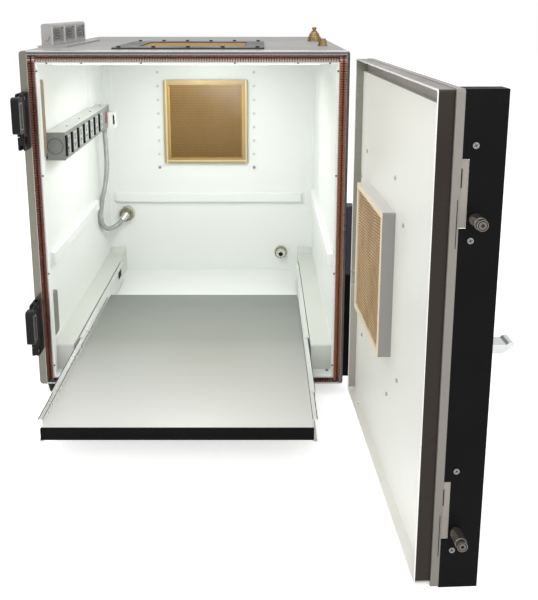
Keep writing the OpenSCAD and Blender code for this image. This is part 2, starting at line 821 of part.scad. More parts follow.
module roller(i) {
    x0 = free_x - post_l + head_l + 0.3;
    x1 = free_x - collar_l - 0.3;
    color("silver") on_door() translate([x0, post_y, post_z[i]]) rotate([0, 90, 0]) difference() {
        rotate_extrude() polygon([
            [0, 0], [roller_dia / 2 - 0.8, 0], [roller_dia / 2, 0.8], [roller_dia / 2, x1 - x0 - 0.8],
            [roller_dia / 2 - 0.8, x1 - x0], [0, x1 - x0]
        ]);
        translate([0, 0, -1]) cylinder(r = post_r + run_clear, h = x1 - x0 + 2);
    }
}
module roller_upper() { roller(0); }
module roller_lower() { roller(1); }

// Ledge handle on the latch bar's front, with a curled tip.
module door_handle() {
    y0 = plate_y - plate_t - bar_d;
    z0 = handle_z;
    color("silver") on_door() along_x(free_x + 2, free_x + 2 + handle_w) polygon([
        [y0, z0], [y0, z0 + 10.5], [y0 - 16, z0 + 10], [y0 - 19, z0 + 12.5], [y0 - 23, z0 + 13],
        [y0 - 25, z0 + 11.5], [y0 - 24.5, z0 + 8], [y0 - 21, z0 + 6.5], [y0 - 12, z0]
    ]);
}

// ---- Hinges ----

hinge_z = [[15, 15 + hinge_low_h], [15 + hinge_low_h + 4, 15 + hinge_low_h + 4 + hinge_up_h]];
function third(s, i) = hinge_z[s][0] + (hinge_z[s][1] - hinge_z[s][0]) * i / 3;

module hinge_block(s) {
    r = knuckle_dia / 2;
    lo = hinge_z[s][0];
    hi = hinge_z[s][1];
    on_feet() difference() {
        union() {
            along_z(lo, hi) box([half_w, 2, hinge_x - r - 2, 30], 1);
            along_z(lo, hi) difference() {
                union() {
                    translate([half_w + 4, 2]) square([hinge_x - half_w - 4, r]);
                    translate([hinge_x, 0]) circle(r);
                }
                translate([half_w, -r - 1]) square([hinge_x - half_w - r, r + 1]);
            }
        }
        along_z(third(s, 1) - knuckle_gap, third(s, 2) + knuckle_gap)
            translate([hinge_x - r - 1, -r - 1]) square([2 * r + 3, 2 * r + 4]);
        along_z(lo - 1, hi + 1) translate([hinge_x, 0]) circle(pin_dia / 2);
    }
}
module hinge_block_lower() { color("black") hinge_block(0); }
module hinge_block_upper() { color("dimgray") hinge_block(1); }
module hinge_pins() {
    color("silver") on_feet() for (s = [0, 1])
        translate([hinge_x, 0, hinge_z[s][0]]) cylinder(d = pin_dia, h = hinge_z[s][1] - hinge_z[s][0]);
}
module hinge_straps() {
    r = knuckle_dia / 2;
    y1 = plate_y - plate_t;
    color("dimgray") on_door() for (s = [0, 1]) along_z(third(s, 1), third(s, 2)) difference() {
        union() {
            translate([hinge_x, 0]) circle(r);
            translate([plate_box[2] - 40, y1 - 5]) square([hinge_x - plate_box[2] + 40, 5]);
            translate([hinge_x - 2, y1 - 5]) square([r + 2, -y1 + 5]);
        }
        translate([hinge_x, 0]) circle(pin_dia / 2 + run_clear);
    }
}

// ---- Latches on the left strip of the rim ----

module latch_body(i) {
    z0 = latch_z[i];
    pin_z = z0 + latch_pin_rise;
    mouth_z = post_z[i];
    profile = concat(
        arc_pts(-4, z0 + 4, 4, -90, 0, 4), arc_pts(-4, z0 + latch_h - 4, 4, 0, 90, 4),
        arc_pts(-latch_d + 5, z0 + latch_h - 5, 5, 90, 180, 6), arc_pts(-latch_d + 5, z0 + 5, 5, 180, 270, 4)
    );
    color("black") on_feet() difference() {
        along_x(latch_x, latch_x + latch_w) polygon(profile);
        along_x(latch_x + cheek_t, latch_x + latch_w - cheek_t)
            translate([-latch_d - 1, z0 - 1]) square([latch_d - 5, latch_h + 2]);
        along_x(latch_x - 1, latch_x + latch_w + 1) {
            translate([-latch_d - 1, mouth_z - mouth_r]) square([latch_d + 1 + post_y, 2 * mouth_r]);
            translate([post_y, mouth_z]) circle(mouth_r);
        }
        rod_x(latch_pin_y, pin_z, latch_pin_r, latch_x - 1, latch_x + latch_w + 1);
    }
}
module latch_body_upper() { latch_body(0); }
module latch_body_lower() { latch_body(1); }
module latch_pins() {
    color("silver") on_feet() for (z = latch_z)
        rod_x(latch_pin_y, z + latch_pin_rise, latch_pin_r, latch_x, latch_x + latch_w);
}

// The lever: a hub and hook plate between the cheeks, and the handle block in front.
module latch_lever(i) {
    z0 = latch_z[i];
    pin_z = z0 + latch_pin_rise;
    front = -latch_d - lever_gap;
    mid_x = latch_x + latch_w / 2;
    nose = post_y - roller_dia / 2 - tongue_gap;
    hook = [
        [latch_pin_y, pin_z + hub_r - 3], [front - 4, pin_z + hub_r - 4], [front - 4, z0 + lever_rise + 2],
        [-latch_d, z0 + lever_rise - 2], [-latch_d, post_z[i] - 3], [nose, post_z[i] - 3],
        [nose, pin_z - 14], [latch_pin_y, pin_z - hub_r]
    ];
    tongue = [-latch_d, post_z[i] - mouth_r + tongue_gap, nose, post_z[i] + mouth_r - 3 * tongue_gap];
    block_box = [front - lever_d, z0 + lever_rise, front, z0 + lever_rise + lever_h];
    groove = [front - lever_d + 5, z0 + lever_rise + 7, front - 4, z0 + lever_rise + lever_h - 9];
    color("black") on_feet() difference() {
        union() {
            along_x(mid_x - hook_t / 2, mid_x + hook_t / 2) {
                polygon(hook);
                translate([latch_pin_y, pin_z]) circle(hub_r);
            }
            along_x(latch_x, latch_x + latch_w) box(tongue);
            along_x(mid_x - lever_w / 2, mid_x + lever_w / 2) box(block_box, 6);
        }
        along_x(mid_x + lever_w / 2 - 1.5, mid_x + lever_w) difference() {
            box(groove, 5);
            box([groove[0] + 3, groove[1] + 4, groove[2] - 3, groove[3] + 1], 3);
        }
        rod_x(latch_pin_y, pin_z, latch_pin_r + run_clear, latch_x, latch_x + latch_w);
    }
}
module latch_lever_upper() { latch_lever(0); }
module latch_lever_lower() { latch_lever(1); }

module latch_backings() {
    y0 = frame_d + liner_t;
    // Depth of each pad along the wall, and its lower and upper end.
    pads = [[24, 421, 556], [36, 84, 166]];
    color("tan") on_feet() for (p = pads) along_x(wall_l, wall_l + 9) box([y0, p[1], y0 + p[0], p[2]], 9);
}

// ---- Power strip and its conduit ----

module strip_housing() {
    color("lightslategray") on_feet() difference() {
        along_y(strip_y, strip_y + strip_l) box([wall_l, strip_z, strip_x, strip_z + strip_h], 2);
        for (i = [0 : outlet_count - 1])
            block([strip_x - 3, outlet_y + i * outlet_pitch - outlet_w / 2, switch_z - outlet_h / 2],
                [strip_x + 1, outlet_y + i * outlet_pitch + outlet_w / 2, switch_z + outlet_h / 2]);
        block([strip_x - 9, switch_y - switch_w / 2 - 1, switch_z - switch_h / 2 - 0.5],
            [strip_x + 1, switch_y + switch_w / 2 + 1, switch_z + switch_h / 2 + 0.5]);
        translate([strip_x - 3, switch_y, switch_z - switch_h / 2 - 3])
            cylinder(r = switch_pin_r + run_clear, h = switch_h + 6);
        rod_y((wall_l + strip_x) / 2, switch_z, 12, strip_y - 1, strip_y + 1);
    }
}
module strip_outlets() {
    color("slategray") on_feet() for (i = [0 : outlet_count - 1])
        translate([0, outlet_y + i * outlet_pitch, switch_z]) difference() {
            along_x(strip_x - 3, strip_x + 1)
                box([-outlet_w / 2, -outlet_h / 2, outlet_w / 2, outlet_h / 2]);
            for (y = [-6, 6]) block([strip_x - 2, y - 1.2, -1], [strip_x + 2, y + 1.2, 8]);
            rod_x(0, -8, 2.6, strip_x - 2, strip_x + 2);
        }
}
module switch_rocker() {
    color("red") on_feet() translate([strip_x - 3, switch_y, switch_z]) union() {
        along_z(-switch_h / 2, switch_h / 2) polygon([
            [-3, -6], [1.5, -switch_w / 2 + 0.6], [3.4, -switch_w / 2 + 0.8], [2.4, 0],
            [3.4, switch_w / 2 - 0.8], [1.5, switch_w / 2 - 0.6], [-3, 6]
        ]);
        along_z(-switch_h / 2 - 2.5, switch_h / 2 + 2.5) circle(switch_pin_r);
    }
}
module strip_plug() {
    color("white") on_feet() difference() {
        along_z(plug_z[0], plug_z[1]) box([strip_x, plug_y[0], strip_x + plug_t, plug_y[1]], 2);
        block([strip_x + plug_t - 6, plug_y[0] - 1, plug_z[0] + 6],
            [strip_x + plug_t - 3, plug_y[0] + 6, plug_z[1] - 6]);
    }
}

// A point on the Catmull-Rom curve through the conduit's points.
function spline_at(p, i, t) =
    let (n = len(p) - 1, a = p[max(i - 1, 0)], b = p[i], c = p[min(i + 1, n)], d = p[min(i + 2, n)])
    0.5 * (2 * b + (c - a) * t + (2 * a - 5 * b + 4 * c - d) * t * t + (3 * b - a - 3 * c + d) * t * t * t);
conduit_steps = 4;
conduit_path = concat(
    [for (i = [0 : len(conduit_pts) - 2], k = [0 : conduit_steps - 1])
        spline_at(conduit_pts, i, k / conduit_steps)],
    [conduit_pts[len(conduit_pts) - 1]]
);
conduit_sides = 10;

// Sweeps a round section along the path; every ring is square to the curve, the end rings to start and end.
module swept_tube(path, r, sides, start, end) {
    n = len(path);
    pts = [
        for (i = [0 : n - 1])
            let (
                t = i == 0 ? start : i == n - 1 ? end : unit(path[i + 1] - path[i - 1]),
                u = unit(cross([1, 0, 0], t)), v = cross(t, u)
            )
            for (k = [0 : sides - 1]) path[i] + r * (cos(360 * k / sides) * u + sin(360 * k / sides) * v)
    ];
    sides_faces = [
        for (i = [0 : n - 2], k = [0 : sides - 1])
            let (a = i * sides + k, b = i * sides + (k + 1) % sides)
            each [[a, b + sides, b], [a, a + sides, b + sides]]
    ];
    polyhedron(pts, concat(
        sides_faces, [[for (k = [0 : sides - 1]) k]],
        [[for (k = [sides - 1 : -1 : 0]) (n - 1) * sides + k]]
    ));
}
module conduit() {
    end_dir = unit(gland_knee - conduit_pts[len(conduit_pts) - 1]);
    color("gray") on_feet() swept_tube(conduit_path, conduit_dia / 2, conduit_sides, [0, 0, -1], end_dir);
}

module conduit_gland() {
    last = conduit_pts[len(conduit_pts) - 1];
    color("silver") on_feet() {
        rod_y(gland_knee[0], gland_knee[2], gland_r - 1, gland_knee[1], rear_y);
        rod(last, gland_knee, gland_r);
        translate(gland_knee) sphere(gland_r + 1.5);
        difference() {
            rod_y(cup_x, cup_z, cup_r, rear_y - cup_d, rear_y);
            rod_y(cup_x, cup_z, cup_r - 2.5, rear_y - cup_d - 1, rear_y - 2);
        }
    }
}
module rear_connector() {
    color("silver") on_feet() difference() {
        union() {
            rod_y(conn_x, conn_z, conn_r, rear_y - 6, rear_y);
            rod_y(conn_x, conn_z, conn_r - 4, rear_y - 14, rear_y);
        }
        rod_y(conn_x, conn_z - 3, 5.75, rear_y - 15, rear_y - 3);
    }
}

// ---- Roof fittings ----

module io_base() {
    notch = 4;
    count = floor(io_l / (3 * notch));
    color("gray") on_feet() along_z(cab_h, cab_h + io_base_t) difference() {
        box([io_x - 6, io_y - 12, io_x - 6 + io_base_w, io_y + io_l + 12], 4);
        for (i = [0 : count - 1])
            translate([io_x - 6 + io_base_w - 2, io_y + i * 3 * notch]) square([3, notch]);
    }
}
module io_housing() {
    z0 = cab_h + io_base_t;
    z1 = z0 + io_h - io_base_t;
    rib = 10;
    x1 = io_x + io_w;
    color("lightgray") on_feet() difference() {
        union() {
            along_y(io_y, io_y + io_l) polygon(concat(
                [[io_x, z0], [x1, z0]], arc_pts(x1 - 5, z1 - 5, 5, 0, 90, 6),
                arc_pts(io_x + 5, z1 - 5, 5, 90, 180, 6)
            ));
            rod_y(io_x + io_w / 2, z0 + 14, 5, io_y - 3, io_y);
        }
        for (i = [0 : io_ports - 1]) {
            y0 = io_y + i * io_pitch + rib;
            y1 = io_y + (i + 1) * io_pitch - rib / 2;
            along_x(x1 - 2, x1 + 1) box([y0, z0 + 5, y1, z1 - 7], 4);
            along_x(x1 - 8, x1) box([y0 + 16, z0 + 11, y1 - 16, z1 - 13], 2);
        }
    }
}
// The ground terminal: a hexagonal base, a cone and a knob; a short binding post stands in front of it.
module ground_terminal() {
    r = terminal_dia / 2;
    h = terminal_h;
    color("goldenrod") on_feet() translate([0, 0, cab_h]) {
        translate([terminal_x, terminal_y]) {
            cylinder(r = r, h = 3);
            cylinder(r = r - 1, h = 9, $fn = 6);
            rotate_extrude() polygon([
                [0, 0], [r - 2, 0], [r - 2, 10], [r - 3.5, 11.5], [r - 3.5, 13], [r - 5.5, 17],
                [r - 8.5, 20], [r - 8.5, 21.5], [3.4, h - 7], [3.4, h - 5.5], [5, h - 4.5],
                [5, h - 2], [3.5, h], [0, h]
            ]);
        }
        translate([terminal_x + 2, stub_y]) {
            cylinder(r = stub_r, h = stub_h - 4);
            cylinder(r = stub_r + 1, h = 4, $fn = 6);
            cylinder(r = stub_r - 2, h = stub_h);
        }
    }
}

// Wiring duct on the left wall, from the power strip up to the ceiling.
module wire_duct() {
    color("white") on_feet() difference() {
        block([wall_l, duct_y[0], strip_z + strip_h], [wall_l + duct_t, duct_y[1], ceil_z]);
        block([wall_l - 1, duct_y[0] + 1.5, strip_z + strip_h + 2],
            [wall_l + duct_t - 1.5, duct_y[1] - 1.5, ceil_z - 2]);
    }
}

outer_shell();
front_frame();
finger_gasket();
inner_liner();
liner_rivets();
light_bar();
rail_rear();
rail_left();
rail_right();
corner_angles();
pedestal_left();
pedestal_right();
slide_outer_left();
slide_outer_right();
rear_vent_frame();
rear_vent_core();
rear_vent_studs();
roof_vent_frame();
roof_vent_core();
roof_vent_screws();
io_base();
io_housing();
ground_terminal();
strip_housing();
strip_outlets();
strip_plug();
conduit();
conduit_gland();
rear_connector();
latch_body_upper();
latch_body_lower();
latch_pins();
latch_backings();
hinge_block_lower();
hinge_block_upper();
hinge_pins();
feet();
slide_mid_left();
slide_mid_right();
slide_inners();
tray_plate();
tray_lip();
door_plate();
door_knife();
door_liner();
door_edge_bar();
door_vent_box();
door_vent_core();
door_studs();
strike_plates();
roller_posts();
door_screws();
door_handle();
hinge_straps();
latch_lever_upper();
latch_lever_lower();
roller_upper();
roller_lower();
switch_rocker();
wire_duct();
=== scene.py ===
# %% [markdown]
# # A shielded test cabinet, dressed for a render
# The cabinet is a double-walled steel box with a heavy door. Electronic devices are tested in it
# away from radio noise, so every gap is closed by metal: a copper spring gasket round the front,
# honeycomb plates in the vents, and a knife edge on the door. The exact solids come from CAD and
# are loaded as a fixed frame. This lesson adds the finishes and the fine pieces.

# %% Load the fixed frame
import math

import bmesh
import bpy
from mathutils import Matrix, Vector


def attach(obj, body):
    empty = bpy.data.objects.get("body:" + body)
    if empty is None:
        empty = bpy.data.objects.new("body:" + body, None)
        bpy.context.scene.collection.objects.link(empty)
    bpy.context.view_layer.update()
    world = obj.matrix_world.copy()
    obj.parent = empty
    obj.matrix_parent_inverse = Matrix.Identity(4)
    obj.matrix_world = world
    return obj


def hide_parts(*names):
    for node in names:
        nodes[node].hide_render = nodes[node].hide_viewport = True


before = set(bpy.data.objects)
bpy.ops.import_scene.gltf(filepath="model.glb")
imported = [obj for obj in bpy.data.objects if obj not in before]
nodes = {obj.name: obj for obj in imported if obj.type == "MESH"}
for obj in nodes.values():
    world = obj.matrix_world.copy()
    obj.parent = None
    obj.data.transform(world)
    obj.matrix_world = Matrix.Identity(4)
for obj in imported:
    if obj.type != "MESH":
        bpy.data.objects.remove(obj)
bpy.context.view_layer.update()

# %% [markdown]
# ## Camera
# The view is almost level with the roof, a little right of the middle, and looks 13.5 degrees
# down. Tilting further would make the uprights lean, so part of the framing is done with the lens
# shift, which moves the picture in its frame without turning the camera.

# %% Camera
MM = 0.001
FEET = 0.022  # height of the rubber feet under the cabinet
EYE = (0.13048, -1.44021, 0.67839 + FEET)
LOOK_DOWN = 13.51  # degrees below level
FOCAL_MM, SENSOR_MM = 50.457, 36.0
SHIFT = (0.0121, -0.1511)

view_data = bpy.data.cameras.new("bench_camera")
view_data.lens = FOCAL_MM
view_data.sensor_width = SENSOR_MM
view_data.shift_x, view_data.shift_y = SHIFT
view_data.clip_end = 50.0
camera = bpy.data.objects.new("bench_camera", view_data)
camera.location = EYE
camera.rotation_euler = (math.radians(90 - LOOK_DOWN), 0.0, 0.0)
bpy.context.scene.collection.objects.link(camera)
bpy.context.scene.camera = camera
bpy.context.scene.view_settings.view_transform = "Standard"
print("camera at", tuple(round(v, 3) for v in camera.location))

# %% [markdown]
# ## Shared effects as node groups
# Enamel, anodised sheet and plastic all show two things up close: slow patches where the colour
# and gloss drift, and a fine grain that breaks up a reflection. They could be painted as images,
# but procedural noise has no seams and no limit of resolution. Each effect is one node group with
# named sockets, so every material below places the same group with its own values.

# %% Helpers for nodes
def new_group(name, inputs, outputs):
    """An empty node group with the given (name, socket type, default) sockets."""
    g = bpy.data.node_groups.new(name, "ShaderNodeTree")
    for title, kind, value in inputs:
        s = g.interface.new_socket(title, in_out="INPUT", socket_type=kind)
        s.default_value = value
    for title, kind in outputs:
        g.interface.new_socket(title, in_out="OUTPUT", socket_type=kind)
    return g, g.nodes.new("NodeGroupInput").outputs, g.nodes.new("NodeGroupOutput").inputs


def feed(tree, socket, source):
    """Feeds a socket: links another node's output to it, or sets a plain value."""
    if isinstance(source, bpy.types.NodeSocket):
        tree.links.new(source, socket)
    else:
        socket.default_value = source


def node_out(tree, kind, out, feeds, **settings):
    """Makes a node with its settings and fed sockets, and gives back one of its outputs."""
    n = tree.nodes.new(kind)
    for key, value in settings.items():
        setattr(n, key, value)
    for key, source in feeds.items():
        feed(tree, n.inputs[key], source)
    return n.outputs[out]


def points_of(tree):
    return node_out(tree, "ShaderNodeTexCoord", "Object", {})


def noise(tree, points, scale, detail, rough=0.5):
    return node_out(tree, "ShaderNodeTexNoise", "Fac", {
        "Vector": points, "Scale": scale, "Detail": detail, "Roughness": rough})


def spread(tree, value, a, b, c=0.0, d=1.0):
    """Maps the span a..b to the span c..d, and clamps outside it."""
    return node_out(tree, "ShaderNodeMapRange", "Result", {
        "Value": value, "From Min": a, "From Max": b, "To Min": c, "To Max": d})


def math_of(tree, operation, *sources):
    return node_out(tree, "ShaderNodeMath", "Value", dict(enumerate(sources)), operation=operation)


def blended(tree, mask, a, b):
    """Color a where the mask is 0, color b where it is 1."""
    return node_out(tree, "ShaderNodeMix", "Result", {"Factor": mask, "A": a, "B": b},
                    data_type="RGBA")


print("node helpers ready")


# %% Group: patches of drifting colour and gloss
def patches_group():
    g, given, out = new_group("drifting_patches", [
        ("Color", "NodeSocketColor", (0.8, 0.8, 0.8, 1)),
        ("Worn", "NodeSocketColor", (0.6, 0.6, 0.6, 1)),
        ("Scale", "NodeSocketFloat", 6.0),
        ("Gloss", "NodeSocketFloat", 0.35),
        ("Dull", "NodeSocketFloat", 0.5),
    ], [("Color", "NodeSocketColor"), ("Roughness", "NodeSocketFloat")])
    wide = noise(g, points_of(g), given["Scale"], 4.0, 0.6)
    worn_mask = spread(g, wide, 0.42, 0.72)
    feed(g, out["Color"], blended(g, worn_mask, given["Color"], given["Worn"]))
    feed(g, out["Roughness"], spread(g, wide, 0.35, 0.65, given["Gloss"], given["Dull"]))
    return g


PATCHES = patches_group()
print("group", PATCHES.name)


# %% Group: fine grain
def grain_group():
    g, given, out = new_group("fine_grain", [("Scale", "NodeSocketFloat", 600.0)],
                              [("Height", "NodeSocketFloat")])
    feed(g, out["Height"], noise(g, points_of(g), given["Scale"], 2.0))
    return g


GRAIN = grain_group()
print("group", GRAIN.name)


# %% [markdown]
# ## A mask along a direction
# Some finishes change across a part: one strip of the rim is painted, and the tray's sheet gets
# painted light, paler towards its front where it stands out of the chamber. Cutting the mesh into
# strips would do it too, but the solids are to stay whole. So a third group measures how far a
# point lies along a direction, and turns that into a mask from 0 to 1 between two places.

# %% Group: a mask along one direction
def reach_of(g, given):
    """How far a point lies along the group's Direction, in metres."""
    return node_out(g, "ShaderNodeVectorMath", "Value", {0: points_of(g), 1: given["Direction"]},
                    operation="DOT_PRODUCT")


def place_group():
    g, given, out = new_group("mask_along", [
        ("Direction", "NodeSocketVector", (0, 0, 1)),
        ("From", "NodeSocketFloat", 0.0),
        ("To", "NodeSocketFloat", 1.0),
    ], [("Mask", "NodeSocketFloat")])
    feed(g, out["Mask"], spread(g, reach_of(g, given), given["From"], given["To"]))
    return g


ALONG = place_group()
print("group", ALONG.name)


# %% [markdown]
# ## Rows of a honeycomb
# Seen at a slant, the rows of a honeycomb line up into fine bright and dark streaks of light and
# shade. The cells alone blur to one tone at that size, so a fourth group paints the streaks as
# painted shade between brighter rows: a sine wave along a direction, bent a little by noise.

# %% Group: rows along one direction
def rows_group():
    g, given, out = new_group("painted_shade_rows", [
        ("Direction", "NodeSocketVector", (0, 0, 1)),
        ("Pitch", "NodeSocketFloat", 0.008),
        ("Bend", "NodeSocketFloat", 1.2),
    ], [("Mask", "NodeSocketFloat")])
    turns = math_of(g, "DIVIDE", reach_of(g, given), given["Pitch"])
    wander = noise(g, points_of(g), 22.0, 3.0)
    bent = math_of(g, "MULTIPLY_ADD", wander, given["Bend"], turns)
    wave = math_of(g, "SINE", math_of(g, "MULTIPLY", bent, 2 * math.pi))
    feed(g, out["Mask"], spread(g, wave, -0.6, 0.9))
    return g


ROWS = rows_group()
print("group", ROWS.name)


# %% [markdown]
# ## One recipe for a finish
# A finish is the Principled shader fed by the shared groups. Only what changes over the surface
# is linked; metallic and specular level are the same all over, so they are set on the shader.
# One function keeps some forty finishes alike, and each call then reads like a line of a paint
# list: a colour, a worn colour, how glossy, how coarse the patches and the grain.

# %% Finish helper
BUMP_DEPTH = 0.0004  # metres that full relief stands for


def placed(tree, group, **values):
    """Places a shared group in a material with its own values, and gives back its node."""
    n = tree.nodes.new("ShaderNodeGroup")
    n.node_tree = group
    for key, value in values.items():
        feed(tree, n.inputs[key], value)
    return n


def finish(name, color, worn, gloss, dull, patch, grain, relief, metallic=0.0, specular=0.5,
           glow=0.0, zones=(), rows=()):
    """zones: (color, direction, from, to), where another colour fades in along a direction; rows:
    (color, direction, pitch), fine streaks of another colour, used as painted shade in rows."""
    m = bpy.data.materials.new(name)
    m.use_nodes = True
    tree = m.node_tree
    shader = tree.nodes["Principled BSDF"].inputs
    shader["Metallic"].default_value = metallic
    shader["Specular IOR Level"].default_value = specular
    drift = placed(tree, PATCHES, Color=(*color, 1), Worn=(*worn, 1), Scale=patch, Gloss=gloss,
                   Dull=dull)
    feed(tree, shader["Roughness"], drift.outputs["Roughness"])
    shown = drift.outputs["Color"]
    masks = [(c, placed(tree, ALONG, Direction=d, From=a, To=b)) for c, d, a, b in zones]
    masks += [(c, placed(tree, ROWS, Direction=d, Pitch=p)) for c, d, p in rows]
    for other, mask in masks:
        shown = blended(tree, mask.outputs["Mask"], shown, (*other, 1))
    feed(tree, shader["Base Color"], shown)
    height = placed(tree, GRAIN, Scale=grain).outputs["Height"]
    feed(tree, shader["Normal"], node_out(tree, "ShaderNodeBump", "Normal", {
        "Strength": relief, "Distance": BUMP_DEPTH, "Height": height}))
    if glow:
        shader["Emission Strength"].default_value = glow
        feed(tree, shader["Emission Color"], shown)
    return m


UP, DOWN, LEFT, RIGHT = (0, 0, 1), (0, 0, -1), (-1, 0, 0), (1, 0, 0)
INWARD = (0, 1, 0)  # from the front into the cabinet
DOOR_OUT = (-0.99881, -0.04885, 0)  # the way the open door's inner face looks
print("finish helper ready")

# %% [markdown]
# ## Enamel and steel
# The cabinet is powder-coated outside and white enamelled inside, so that one small light fills
# the chamber. The rim is polished steel: a dark and a bright band across it stand for the room
# that such a metal mirrors, which an empty studio lacks.

# %% Enamel and sheet metal of the cabinet
shell_grey = finish(
    "shell_grey_enamel", (0.318, 0.313, 0.30), (0.30, 0.295, 0.282), gloss=0.42, dull=0.55,
    patch=4, grain=900, relief=0.08, specular=0.16)
rim_steel = finish(
    "rim_polished_steel", (0.40, 0.40, 0.40), (0.35, 0.35, 0.355), gloss=0.18, dull=0.28, patch=8,
    grain=700, relief=0.01, metallic=0.7,
    zones=(
        ((0.13, 0.12, 0.13), UP, 0.6228, 0.6233),  # dark mirrored band
        ((0.55, 0.55, 0.55), UP, 0.6268, 0.6273),  # bright line over it
        ((0.195, 0.19, 0.155), RIGHT, -0.2672, -0.2678),  # painted strip on the left
        ((0.085, 0.08, 0.08), RIGHT, 0.2754, 0.2757),  # dark right edge
    ))
chamber_white = finish(
    "chamber_white_enamel", (0.80, 0.825, 0.795), (0.785, 0.81, 0.78), gloss=0.28, dull=0.40,
    patch=3, grain=800, relief=0.06)
pedestal_grey = finish(
    "pedestal_enamel", (0.60, 0.62, 0.575), (0.57, 0.59, 0.545), gloss=0.28, dull=0.40, patch=3,
    grain=800, relief=0.06)
tray_grey = finish(
    "tray_grey_anodised", (0.18, 0.197, 0.176), (0.174, 0.19, 0.17), gloss=0.28, dull=0.34,
    patch=3, grain=700, relief=0.04, specular=0.4,
    zones=(
        ((0.28, 0.29, 0.265), INWARD, 0.30, 0.05),  # painted light, paler towards the front
        ((0.62, 0.625, 0.595), INWARD, 0.10, -0.26),  # painted light on the front, which stands out of the chamber
    ))
roof_dark = finish(
    "roof_dark_enamel", (0.042, 0.042, 0.045), (0.034, 0.034, 0.036), gloss=0.35, dull=0.5,
    patch=10, grain=900, relief=0.1, specular=0.3)
purple_coat = finish(
    "purple_grey_coat", (0.055, 0.045, 0.07), (0.04, 0.035, 0.05), gloss=0.35, dull=0.5, patch=20,
    grain=900, relief=0.2, specular=0.3)
print("enamel and sheet finishes made")

# %% [markdown]
# ## Copper, gilt and brass
# The metals that carry the shielding current are plated or bare, never painted. Gilt and foil lose
# their colour when they are fully metallic in a white tent, so they are made half metal and half
# paint. The gilt frame has a folded edge, and its highlight is painted on as a thin bright line.

# %% Copper, gilt and brass
# The second colour is a painted highlight on the frame's folded edge.
GILT, GILT_HIGHLIGHT = (0.37, 0.295, 0.158), (0.66, 0.55, 0.34)


def painted_highlight_line(direction, start, end, soft=0.001):
    """A painted highlight line across the frame: the highlight colour fades in at start and out at
    end.
    """
    return (GILT_HIGHLIGHT, direction, start, start + soft), (GILT, direction, end, end + soft)


gasket_copper = finish(
    "gasket_copper", (0.50, 0.25, 0.185), (0.32, 0.15, 0.10), gloss=0.28, dull=0.45, patch=60,
    grain=900, relief=0.05, metallic=0.5,
    zones=(
        ((0.72, 0.38, 0.23), RIGHT, 0.25, 0.26),  # right side, brighter
        ((0.95, 0.80, 0.74), UP, 0.6105, 0.6108),  # painted light of the lamp strip on the inner row on top
        ((0.42, 0.24, 0.19), UP, 0.6125, 0.619),  # painted shade on the outer row on top, away from the lamp strip
    ))
gasket_back = finish(
    "gasket_backing", (0.22, 0.10, 0.07), (0.16, 0.07, 0.05), gloss=0.4, dull=0.55, patch=40,
    grain=900, relief=0.05, metallic=0.3)
vent_gold = finish(
    "vent_gold_plate", GILT, (0.34, 0.265, 0.138), gloss=0.28, dull=0.38, patch=12, grain=800,
    relief=0.005, metallic=0.6,
    # painted highlights along the bottom and the side edges of the frame
    zones=(
        *painted_highlight_line(DOWN, -0.3245, -0.3215),
        *painted_highlight_line(RIGHT, 0.0892, 0.0920),
        *painted_highlight_line(LEFT, 0.1060, 0.1090)))
core_brass = finish(
    "core_brass_foil", (0.67, 0.42, 0.125), (0.61, 0.38, 0.115), gloss=0.42, dull=0.5, patch=25,
    grain=900, relief=0.1, metallic=0.5, specular=0.15,
    zones=(
        ((0.54, 0.335, 0.10), DOWN, -0.50, -0.33),  # shaded foot
        ((0.52, 0.35, 0.15), UP, 0.56, 0.57),  # roof core
    ))
terminal_brass = finish(
    "terminal_brass", (0.30, 0.21, 0.10), (0.20, 0.13, 0.06), gloss=0.2, dull=0.38, patch=45,
    grain=800, relief=0.05, metallic=0.85)
print("copper, gilt and brass made")

# %% [markdown]
# ## Bare metal fittings
# Pins, screws, slides and connectors are zinc or nickel plated. The zinc of the slides is pale
# and even, so its relief is almost nil: a strong grain would break the thin members up.

# %% Bare metal fittings
bright_steel = finish(
    "bright_steel", (0.62, 0.63, 0.63), (0.52, 0.53, 0.53), gloss=0.20, dull=0.34, patch=30,
    grain=900, relief=0.06, metallic=0.9)
screw_steel = finish(
    "screw_steel", (0.25, 0.255, 0.25), (0.19, 0.195, 0.19), gloss=0.28, dull=0.42, patch=40,
    grain=900, relief=0.06, metallic=0.85)
slide_zinc = finish(
    "slide_zinc", (0.76, 0.77, 0.755), (0.72, 0.73, 0.715), gloss=0.26, dull=0.32, patch=5,
    grain=700, relief=0.005, metallic=0.5)
dark_zinc = finish(
    "dark_zinc", (0.13, 0.13, 0.13), (0.08, 0.08, 0.08), gloss=0.3, dull=0.45, patch=60, grain=900,
    relief=0.1, metallic=0.6)
nickel = finish(
    "nickel_plate", (0.66, 0.67, 0.64), (0.55, 0.56, 0.53), gloss=0.2, dull=0.34, patch=40,
    grain=900, relief=0.05, metallic=0.7,
    zones=(((0.36, 0.345, 0.24), INWARD, 0.6565, 0.6575),))  # cup in the wall
lever_highlight_paint = finish(
    "lever_highlight_paint", (0.27, 0.275, 0.27), (0.22, 0.224, 0.22), gloss=0.3, dull=0.42, patch=30,
    grain=900, relief=0.06)
print("fittings made")

# %% [markdown]
# ## Black and soft parts
# Powder coat, moulded plastic and rubber are all nearly black, and differ in gloss. Their
# specular level is kept low, or the white tent would turn them grey.

